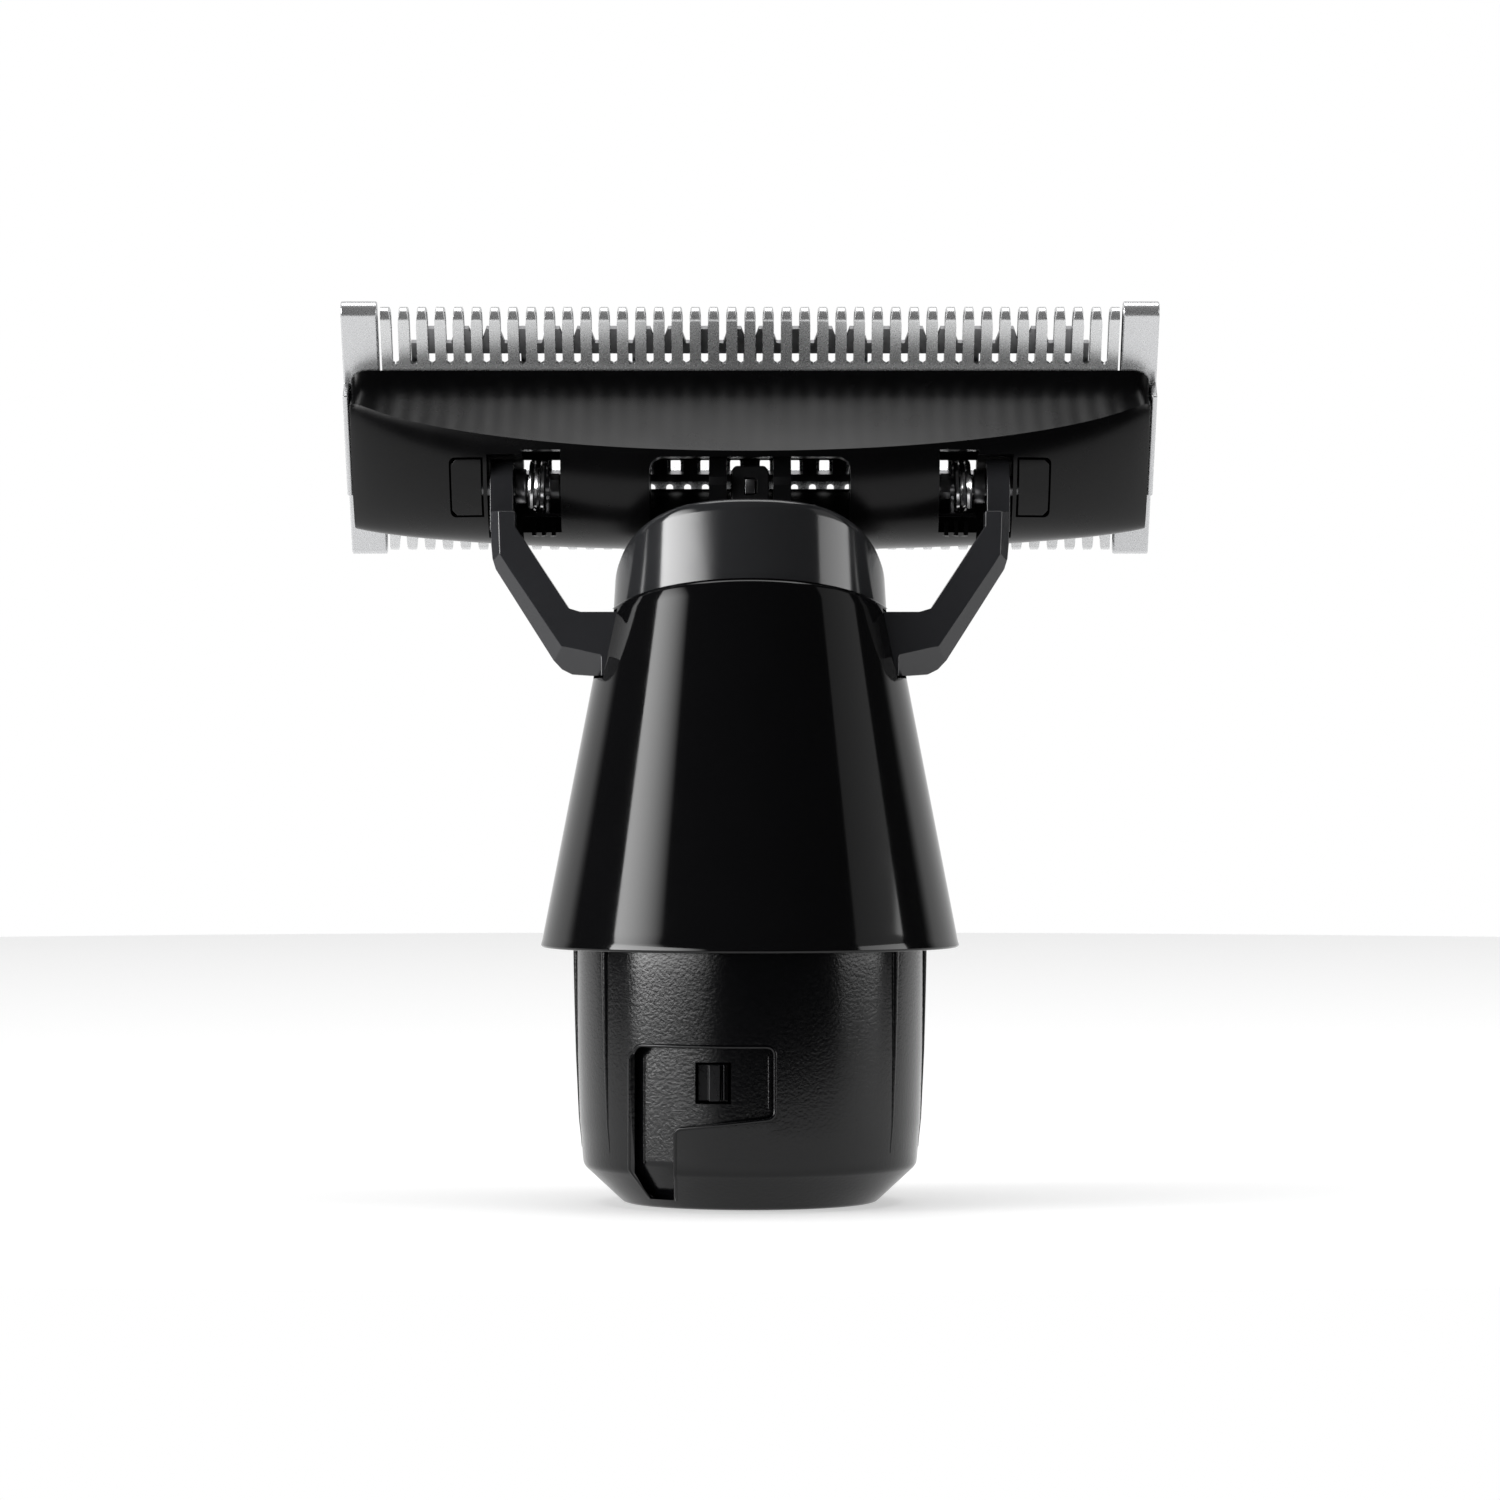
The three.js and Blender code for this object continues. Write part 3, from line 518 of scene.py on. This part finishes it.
def cap_cover():
    """The rounded cap, closed over the top and hollow under it."""
    steps = 13
    rings = cap_outside_rings()
    inner = cap_radius(42) - CAP_FILLET
    for k in range(1, steps):
        rings.append([(x, y, crown(y)) for x, y in circle(inner * (1 - k / steps), ROUND_POINTS)])
    rings.append([(x, y, crown(y) - CAP_WALL) for x, y in circle(inner / steps, ROUND_POINTS)])
    for k in range(steps - 2, -1, -1):
        ring = circle((cap_radius(40) - CAP_WALL) * (1 - k / steps), ROUND_POINTS)
        rings.append([(x, y, max(crown(y) - CAP_WALL, cap_foot(y) + 0.15)) for x, y in ring])
    rings.append([(x, y, cap_foot(y)) for x, y in circle(cap_radius(36) - CAP_WALL, ROUND_POINTS)])
    made = mesh_object("cap_cover", *ring_skin(rings))
    face_out(made)
    cuts = [slab("seal_hole", (-2.7, 2.7), (-2.5, 2.9), (30, 50))]
    combine(made, cuts + notches(6.1, 0.9), "DIFFERENCE")
    dress(soften(made, 0), "cap", "neck", "cap_gloss", "neck_cap")


def collar_outer(z):
    """The collar's outside radius at a height, along its own profile."""
    for (r0, z0), (r1, z1) in zip(COLLAR_WALL, COLLAR_WALL[1:]):
        if z <= z1:
            return r0 + (r1 - r0) * max(z - z0, 0) / (z1 - z0)
    return COLLAR_WALL[-1][0]


def collar_body():
    """The turned collar with its two tracks, the latch window and the screw holes, then lips and ribs."""
    profile = [COLLAR_FOOT, *COLLAR_WALL, *COLLAR_INSIDE]
    made = mesh_object("collar_body", *ring_skin([hoop(radius, z) for radius, z in profile]))
    face_out(made)
    tracks = [bayonet_track(turn) for turn in HALF_TURNS]
    window = slab("window", WINDOW_X, (-12, -6), WINDOW_Z)
    holes = [rod("screw_hole", 0.9, 12, 16, "Z", (0, side * SCREW_Y), 24) for side in SIDES]
    combine(made, [*tracks, window, *holes], "DIFFERENCE")
    dress(soften(made, 0), "collar", "neck", "collar_plastic", "coupling_collar")
    lips = gathered("collar_lips", [lip for turn in HALF_TURNS for lip in track_lips(turn)])
    dress(soften(lips, 0), "collar", "neck", "collar_plastic")
    ribs = gathered("collar_ribs", [collar_rib(angle) for angle in RIB_ANGLES])
    dress(soften(ribs, 0), "collar", "neck", "collar_plastic")


def collar_rib(angle):
    """A round bead, sunk by about half, that thins out towards the foot."""
    a, rings, steps = math.radians(angle), [], 24
    for k in range(steps + 1):
        z = RIB_LOW + (RIB_TOP - RIB_LOW) * k / steps
        thick = 0.05 + 0.23 * (z - RIB_LOW) / (RIB_TOP - RIB_LOW)
        centre = collar_outer(z) - 0.02
        middle = (centre * math.sin(a), -centre * math.cos(a))
        rings.append([(middle[0] + x, middle[1] + y, z) for x, y in circle(thick, 20)])
    return rings


def track_outline():
    """One L-shaped track as seen from behind, x and z: the entry at the foot, then the locking arm."""
    outline = [(-6.9, 2.2), (-6.0, 0.55), (-4.45, 0.55), (-4.45, 4.55)]
    outline += corner((-4.05, 4.6), 0.4, 180, 100, 3)
    outline += corner((1.0, 6.05), 0.5, -90, 0) + corner((1.0, 9.4), 0.5, 0, 90)
    return outline + corner((-6.4, 9.4), 0.5, 90, 180)


def bayonet_track(turn):
    """The solid that cuts one track to an even depth, with a slanting wall on its entry side."""
    place = Matrix.Rotation(turn, 4, "Z")
    track = prism("track", track_outline(), -12, -5, "Y", place)
    slope = [(-7.24, -9.0), (-6.3, -9.0), (-6.3, -7.34), (-6.5, -7.36), (-7.24, -7.68)]
    combine(track, [prism("slope", slope, 2.4, 9.35, "Z", place)], "UNION")
    levels = ((6.1, -1.0), (7.15, 0.1), (TRACK_FLOOR - 0.1, 2.6), (TRACK_FLOOR, 3.0), (TRACK_FLOOR, 20))
    core = gathered("core", [[hoop(radius, z, 160) for radius, z in levels]])
    return combine(track, [core], "DIFFERENCE")


def track_lips(turn):
    """Fine raised beads: one round the track's edge, and two along its floor beside the walls."""
    outline = track_outline()
    edge = [*outline[2:-1], (-7.2, 9.3), (-7.2, 2.4), outline[1]]
    floor_left, floor_right = [(-6.3, 2.8), (-6.3, 9.2)], [(1.13, 6.2), (1.13, 9.3)]
    lips = [bead(edge, collar_outer, 0.12, turn)]
    for path in (floor_left, floor_right):
        lips.append(bead(path, lambda z: TRACK_FLOOR + 0.02, 0.08, turn))
    return lips


def bead(path, radius_at, thick, turn):
    """A round bead laid on a round wall along a path of [x, z] points."""
    route, step, sunk = [], 0.25, 0.04
    for (x0, z0), (x1, z1) in zip(path, path[1:]):
        steps = max(1, round(math.hypot(x1 - x0, z1 - z0) / step))
        route += [(x0 + (x1 - x0) * k / steps, z0 + (z1 - z0) * k / steps) for k in range(steps)]
    route.append(path[-1])
    spots = []
    for x, z in route:
        radius = radius_at(z) - sunk
        spots.append(Vector((x, -math.sqrt(radius * radius - x * x), z)))
    place = Matrix.Rotation(turn, 3, "Z")
    rings = []
    for k, spot in enumerate(spots):
        along = (spots[min(k + 1, len(spots) - 1)] - spots[max(k - 1, 0)]).normalized()
        out = Vector((spot.x, spot.y, 0)).normalized()
        across = along.cross(out).normalized()
        rings.append([tuple(place @ (spot + out * x + across * y)) for x, y in circle(thick, 12)])
    return rings


# ---- Head carrier ----
def carrier_section(x):
    """The carrier's outline at a place along its width, in the head's own two axes.

    Its back sweeps forward from the middle to the ends, where `end` is about 1, and its last stretch
    is rounded off.
    """
    depth = CARRIER_BACK + CARRIER_SWEEP * (1 - math.sqrt(1 - (x / CARRIER_ARC) ** 2))
    end = (depth - CARRIER_BACK) / 5.0
    beyond = min(max(abs(x) - CARRIER_HALF + CARRIER_CORNER, 0) / CARRIER_CORNER, 1)
    rounding = 1 - math.sqrt(1 - beyond**2)
    top_front = (CARRIER_FRONT, 4.9 - 0.9 * rounding)
    crease = (depth, 3.435 + 0.6415 * end - 0.5 * rounding)
    across = depth - CARRIER_FRONT
    scoop = (CARRIER_FRONT + across * 0.355, crease[1] - 0.0394 * across)
    foot = (-6.5 + 3.5 * end, -4.9 - 0.7 * end)
    pull = 3.3 - 2.1 * end
    high = (crease[0] - BACK_LEAN[0] * pull, crease[1] - BACK_LEAN[1] * pull)
    low = (foot[0] - BACK_LEAN[1] * pull, foot[1] + BACK_LEAN[0] * pull)
    top = bezier([top_front, scoop, crease], 18, False)
    back = bezier([crease, high, low, foot], 26, True)
    return [*top, *back, (foot[0] + 0.9, foot[1] - 0.15), (CARRIER_FRONT, -4.95 - 0.2 * end)]


def panel_outline(side, grow):
    """A side panel's outline, x and z, with its two outer corners rounded."""
    radius = 0.35
    x = (16.35 - grow, 18.2 + grow - radius)
    z = (41.85 - grow + radius, 45.15 + grow - radius)
    outline = [(x[0], z[0] - radius)] + corner((x[1], z[0]), radius, -90, 0)
    outline += corner((x[1], z[1]), radius, 0, 90) + [(x[0], z[1] + radius)]
    return [(side * a, b) for a, b in outline]


def drive_window():
    """The opening in the back that the lever's tip is seen through, with round upper corners."""
    outline = [(-6.1, 41.4), (6.1, 41.4)]
    outline += corner((5.3, 44.45), 0.8, 0, 90) + corner((-5.3, 44.45), 0.8, 90, 180)
    return prism("window", outline, -9, 2.6, "Y")


def carrier_rooms():
    """The carrier's hollows: the drive room, and by each arm a spring room, slot and panel bed."""
    y, z = PIVOT
    rooms = [
        slab("pocket", (-21.9, 21.9), (-2.9, 1), (-4.0, 3.1), TO_HEAD),
        drive_window(),
        slab("passage", (-6.1, 6.1), (-6.0, 1), (-3.6, 2.1), TO_HEAD),
        slab("lever_slot", (-2.3, 2.3), (-9, 2.9), (36, 43)),
    ]
    for side in SIDES:
        slot, spring = span(side, *ARM_SLOT), span(side, *SPRING_ROOM)
        rooms += [
            slab("spring_room", spring, (-9, 2.3), (40.8, 45.7)),
            slab("spring_passage", spring, (-5.4, 1), (-3.4, 2.0), TO_HEAD),
            slab("arm_slot", slot, (-9, 2.4), (36, z)),
            slab("knuckle_slot", slot, (-9, y), (z - 1, z + KNUCKLE_RADIUS)),
            rod("knuckle_room", KNUCKLE_RADIUS, *slot, "X", (y, z)),
            prism("panel_bed", panel_outline(side, 0.12), -9, 1.6, "Y"),
            rod("pin_bore", PIVOT_BORE, *span(side, 10.6, 16.9), "X", (y, z), 24),
        ]
    return rooms


def carrier_shell():
    """A skin along the width, cut by its rooms, with a spring rest and ribs in each spring room."""
    steps = 84
    inner = CARRIER_HALF - CARRIER_CORNER
    places = [-inner + 2 * inner * k / steps for k in range(steps + 1)]
    tips = [inner + CARRIER_CORNER * math.sin(math.radians(a)) for a in (20, 40, 60, 76, 90)]
    places = [-x for x in reversed(tips)] + places + tips
    rings = [[(x, n, u) for n, u in carrier_section(x)] for x in places]
    made = mesh_object("carrier_shell", *ring_skin(rings, False), TO_HEAD)
    face_out(made)
    for room in carrier_rooms():
        combine(made, [room], "DIFFERENCE")
    for side in SIDES:
        fittings = [slab("rest", span(side, 11.3, 13.75), (-0.4, -0.05), (41.72, 41.92))]
        for x in (12.0, 12.6, 13.2):
            fittings.append(slab("rib", span(side, *around(x, 0.12)), (0.5, 1.4), (40.6, 41.45)))
        combine(made, fittings, "UNION")
    dress(soften(made, 0.14, 3, 32), "carrier", "head", "carrier_gloss", "head_carrier")


# ---- Comb, cutter and end guards ----
def comb_section():
    """The folded plate: a flat face, two rolled edges and a short leg behind each."""
    middle, bend = -COMB_DEPTH / 2, COMB_DEPTH / 2
    tip, inside = COMB_TIP - bend, bend - COMB_WALL
    back, inner = -COMB_DEPTH, -COMB_DEPTH + COMB_WALL
    outline = corner((middle, tip), bend, 0, 180, 14) + [(back, COMB_REAR_END), (inner, COMB_REAR_END)]
    outline += corner((middle, tip), inside, 180, 0, 8) + corner((middle, -tip), inside, 0, -180, 8)
    outline += [(inner, -COMB_REAR_END), (back, -COMB_REAR_END)]
    return outline + corner((middle, -tip), bend, 180, 360, 14)


def slot_outline(x, width, root, side, far=12.0):
    """A slot with a round end at its root; one that runs out at the tips widens there."""
    radius = width / 2
    flare = [(far, 0.0)]
    if far > COMB_TIP:
        flare = [(8.1, 0.0), (8.5, 0.03), (8.8, 0.09), (8.95, 0.15), (far, 0.2)]
    right = [(x + radius + wider, side * u) for u, wider in flare]
    left = [(x - radius - wider, side * u) for u, wider in reversed(flare)]
    end = [(a, side * b) for a, b in corner((x, root + radius), radius, 180, 360, 8)]
    return [*end, *right, *left]


def comb_cutters():
    """The comb's slots, longer on its face than on the legs behind, and its two inner rows."""
    stacks = []
    for side in SIDES:
        for x in in_row(SLOT_COUNT, SLOT_PITCH):
            rear = slot_outline(x, SLOT_WIDTH, REAR_ROOT, side)
            front = slot_outline(x, SLOT_WIDTH, FRONT_ROOT, side)
            levels = ((-2, rear), (-0.61, rear), (-0.59, front), (1, front))
            stacks.append([[(a, n, u) for a, u in outline] for n, outline in levels])
        for x in in_row(INNER_COUNT, INNER_PITCH):
            outline = slot_outline(x, INNER_WIDTH, INNER_ROOT, side, INNER_END)
            stacks.append([[(a, n, u) for a, u in outline] for n in (-0.8, 1)])
    return gathered("comb_cutters", stacks, TO_HEAD)


def comb_plate():
    """The folded steel comb, with teeth on both long edges."""
    outline = comb_section()
    rings = [[(x, n, u) for n, u in outline] for x in (-COMB_HALF, COMB_HALF)]
    made = mesh_object("comb_plate", *ring_skin(rings, False), TO_HEAD)
    face_out(made)
    combine(made, [comb_cutters()], "DIFFERENCE")
    dress(soften(made, 0.05, 2, 35), "comb", "head", "comb_steel", "comb")


def cutter_plate():
    """The toothed cutter, with openings under both tooth rows and behind the comb's inner slots."""
    base, point, through = 0.7, 0.38, (-3, 1)
    top = [(-CUTTER_HALF, CUTTER_ROOT)]
    for x in in_row(INNER_COUNT, INNER_PITCH):
        top += [(x - base, CUTTER_ROOT), (x - point, CUTTER_TIP)]
        top += [(x + point, CUTTER_TIP), (x + base, CUTTER_ROOT)]
    top.append((CUTTER_HALF, CUTTER_ROOT))
    outline = top + [(x, -u) for x, u in reversed(top)]
    made = prism("cutter_plate", outline, CUTTER_BACK, CUTTER_FRONT, "Y", TO_HEAD)
    stacks = []
    for side in SIDES:
        for x in in_row(6, 6.8):
            stacks.append(box_stack(around(x, 3), through, around(side * 4.8, 1.0)))
        for x in in_row(INNER_COUNT, INNER_PITCH):
            stacks.append(box_stack(around(x, 0.5), through, around(side * 2.55, 0.7)))
    combine(made, [gathered("cutter_windows", stacks, TO_HEAD)], "DIFFERENCE")
    dress(soften(made, 0.05, 2, 35), "cutter", "cutter", "cutter_steel", "cutter_blade")


def end_guard(name, side):
    """A steel end with both long edges rolled round, and a lip that wraps the carrier's end."""
    middle, bend, tip = -0.54, 0.66, 8.69
    outline = corner((middle, tip), bend, 0, 180, 14) + corner((middle, -tip), bend, 180, 360, 14)
    made = prism(f"guard_{name}", outline, *span(side, GUARD_NEAR, GUARD_FAR), "X", TO_HEAD)
    beyond_carrier = span(side, CARRIER_HALF + 0.1, GUARD_FAR)
    combine(made, [slab("wrap", beyond_carrier, (-2.6, -0.3), (-3.6, 3.9), TO_HEAD)], "UNION")
    pocket = slab("pocket", span(side, 21.7, 24.1), (-0.9, -0.3), (-8.4, 8.4), TO_HEAD)
    combine(made, [pocket], "DIFFERENCE")
    dress(soften(made, 0.1, 3, 35), "guard", "head", "guard_steel", f"end_guard_{name}")


# ---- Pieces refined from their CAD shapes ----
def clean(made):
    """Joins doubled points and melts flat neighbours into one face."""
    work = bmesh.new()
    work.from_mesh(made.data)
    bmesh.ops.remove_doubles(work, verts=work.verts, dist=DOUBLED_SPOT)
    bmesh.ops.dissolve_limit(work, angle_limit=math.radians(0.5), verts=work.verts, edges=work.edges)
    work.to_mesh(made.data)
    work.free()


def refined(node, name, width, segments):
    """A piece made from a CAD node's mesh: facets melted together and every edge rounded.

    The yoke's ridges are shallow, so they are rounded from a smaller angle, and unclamped because
    its shortest edges would shrink the rounding of all the others.
    """
    made = bpy.data.objects.new(name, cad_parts[node].data.copy())
    bpy.context.scene.collection.objects.link(made)
    clean(made)
    ridged = node == "yoke_frame"
    return soften(made, width, segments, FACET_ANGLE if ridged else SHARP_ANGLE, not ridged)


def refined_pieces():
    # Node, name, rounding, steps of the rounding, material, body, slot.
    recipes = [
        ("yoke_frame", "yoke_arms", 0.05, 3, "yoke", "neck", "yoke_plastic"),
        ("drive_seal", "drive_seal_ring", 0.15, 2, "rubber", "neck", "seal_rubber"),
        ("lever_pivot_pin", "lever_pin", 0.08, 2, "pin", "neck", "pin_steel"),
        ("neck_screw_back", "screw_back", 0.06, 2, "pin", "neck", "fastener_steel"),
        ("neck_screw_front", "screw_front", 0.06, 2, "pin", "neck", "fastener_steel"),
        ("bayonet_detent", "detent_block", 0.07, 2, "latch", "detent", "latch_plastic"),
        ("drive_lever", "lever_bar", 0.14, 2, "inner", "lever", "lever_plastic"),
        ("lever_tip_insert", "lever_insert", 0.05, 2, "insert", "lever", "pin_steel"),
        ("cutter_carrier", "cutter_block", 0.12, 2, "inner", "cutter", "cutter_plastic"),
    ]
    for side in ("left", "right"):
        recipes += [
            (f"side_panel_{side}", f"panel_{side}", 0.1, 2, "carrier", "head", "latch_plastic"),
            (f"pivot_pin_{side}", f"pin_{side}", 0.06, 2, "insert", "head", "pin_steel"),
            (f"torsion_spring_{side}", f"coil_{side}", 0.0, 1, "wire", "head", "spring_steel"),
            (f"cutter_spring_{side}", f"leaf_{side}", 0.03, 1, "wire", "head", "spring_steel"),
        ]
    for node, name, width, segments, material, body, slot in recipes:
        dress(refined(node, name, width, segments), material, body, slot, node)


# ---- Stage: the floor is in millimetres, the lights and the camera in metres ----
FLOOR_RADIUS, FLOOR_SHIFT, FLOOR_DROP, FLOOR_POINTS = 300, 240, 0.05, 96
FLOOR_COLOUR, FLOOR_ROUGH, FLOOR_GLOW = (0.6, 0.6, 0.6), 0.8, 0.5
PANEL_DISTANCE = 0.6
# Name, glow, azimuth of one edge from -Y, width and height, bottom, side it reaches to, spread.
LIGHT_PANELS = (
    ("key_low", 17, -82, (1.15, 0.16), 0, 1, 117),
    ("key_high", 19, -82, (0.62, 0.34), 0.16, 1, 72),
    ("fill_low", 5, 95, (0.39, 0.16), 0, -1, 125),
    ("fill_high", 0.8, 95, (0.39, 0.34), 0.16, -1, 125),
)
# Name, glow, width and depth, place, way it looks, spread.
TOP_LIGHT = ("top", 4.2, (0.9, 0.45), (0, 0.0, 0.85), (0, 0, -1), 180)
# Direction to +Y at which the room starts and stops getting lighter, and its light at each.
ROOM_SWEEP, ROOM_LIGHT = (0.42, 0.60), (0.02, 0.8)
CAMERA_PLACE, CAMERA_LENS, CAMERA_SENSOR = (0, -0.366, 0.0275), 144, 36
WHITE = (1, 1, 1, 1)


def floor_paint():
    """Pale paint; its own faint glow keeps the floor as light as the backdrop."""
    material, nodes, links, shader = new_material("floor_paint")
    shader.inputs["Roughness"].default_value = FLOOR_ROUGH
    drift = add_noise(nodes, links, 6)
    add_tint(nodes, links, drift, shader, (FLOOR_COLOUR, tuple(c * 1.01 for c in FLOOR_COLOUR)))
    shader.inputs["Emission Color"].default_value = WHITE
    shader.inputs["Emission Strength"].default_value = FLOOR_GLOW
    return material


def make_floor():
    """A round pale table top, most of it behind the part."""
    points = [(x, y + FLOOR_SHIFT, 0) for x, y in circle(FLOOR_RADIUS, FLOOR_POINTS)]
    made = mesh_object("studio_floor", points, [tuple(range(FLOOR_POINTS))])
    made.location.z = -FLOOR_DROP * MM
    made.data.materials.append(floor_paint())


def area_light(name, glow, size, place, facing, spread):
    """A panel whose surface is as bright as glow, looking along facing."""
    data = bpy.data.lights.new(name, "AREA")
    data.shape = "RECTANGLE"
    data.size, data.size_y = size
    data.spread = math.radians(spread)
    half = math.radians(min(spread, 179) / 2)
    gain = math.tan(half) / (math.tan(half) - half) if spread < 180 else 1
    data.energy = glow * math.pi * size[0] * size[1] / gain
    made = bpy.data.objects.new(name, data)
    bpy.context.scene.collection.objects.link(made)
    made.location = place
    made.rotation_euler = Vector(facing).to_track_quat("-Z", "Y").to_euler()


def upright_light(name, glow, azimuth, size, bottom, toward, spread):
    """An upright panel with one edge at an azimuth from -Y, reaching sideways from there."""
    a = math.radians(azimuth)
    x = PANEL_DISTANCE * math.sin(a) + toward * size[0] / 2 * math.cos(a)
    y = -PANEL_DISTANCE * math.cos(a) + toward * size[0] / 2 * math.sin(a)
    place = (x, y, bottom + size[1] / 2)
    area_light(name, glow, size, place, (-math.sin(a), math.cos(a), 0), spread)


def make_lights():
    """Soft boxes in two tiers: wide ones on the left, narrow dim ones on the right, and one overhead."""
    for panel in LIGHT_PANELS:
        upright_light(*panel)
    area_light(*TOP_LIGHT)


def make_world():
    """A white backdrop for the camera, and for all else a dark room that lightens towards +Y."""
    world = bpy.data.worlds.new("studio")
    bpy.context.scene.world = world
    world.use_nodes = True
    nodes, links = world.node_tree.nodes, world.node_tree.links
    room = nodes["Background"]
    room.inputs["Color"].default_value = WHITE
    where = nodes.new("ShaderNodeTexCoord")
    split = nodes.new("ShaderNodeSeparateXYZ")
    links.new(where.outputs["Generated"], split.inputs["Vector"])
    sweep = map_range(nodes, ROOM_SWEEP, ROOM_LIGHT)
    sweep.interpolation_type = "SMOOTHSTEP"
    links.new(split.outputs["Y"], sweep.inputs["Value"])
    links.new(sweep.outputs["Result"], room.inputs["Strength"])
    backdrop = nodes.new("ShaderNodeBackground")
    backdrop.inputs["Color"].default_value = WHITE
    backdrop.inputs["Strength"].default_value = 1.0
    path = nodes.new("ShaderNodeLightPath")
    mix = nodes.new("ShaderNodeMixShader")
    links.new(path.outputs["Is Camera Ray"], mix.inputs["Fac"])
    links.new(room.outputs["Background"], mix.inputs[1])
    links.new(backdrop.outputs["Background"], mix.inputs[2])
    links.new(mix.outputs["Shader"], nodes["World Output"].inputs["Surface"])


def make_camera():
    """A long lens level with the part's middle, straight from behind."""
    data = bpy.data.cameras.new("camera")
    data.lens = CAMERA_LENS
    data.sensor_width = CAMERA_SENSOR
    made = bpy.data.objects.new("camera", data)
    bpy.context.scene.collection.objects.link(made)
    made.location = CAMERA_PLACE
    made.rotation_euler = (math.pi / 2, 0, 0)
    bpy.context.scene.camera = made


bpy.context.scene.view_settings.view_transform = "Standard"
MATERIALS = make_materials()
skirt_cone()
cap_cover()
collar_body()
carrier_shell()
comb_plate()
cutter_plate()
end_guard("left", -1)
end_guard("right", 1)
refined_pieces()
make_floor()
make_lights()
make_world()
make_camera()
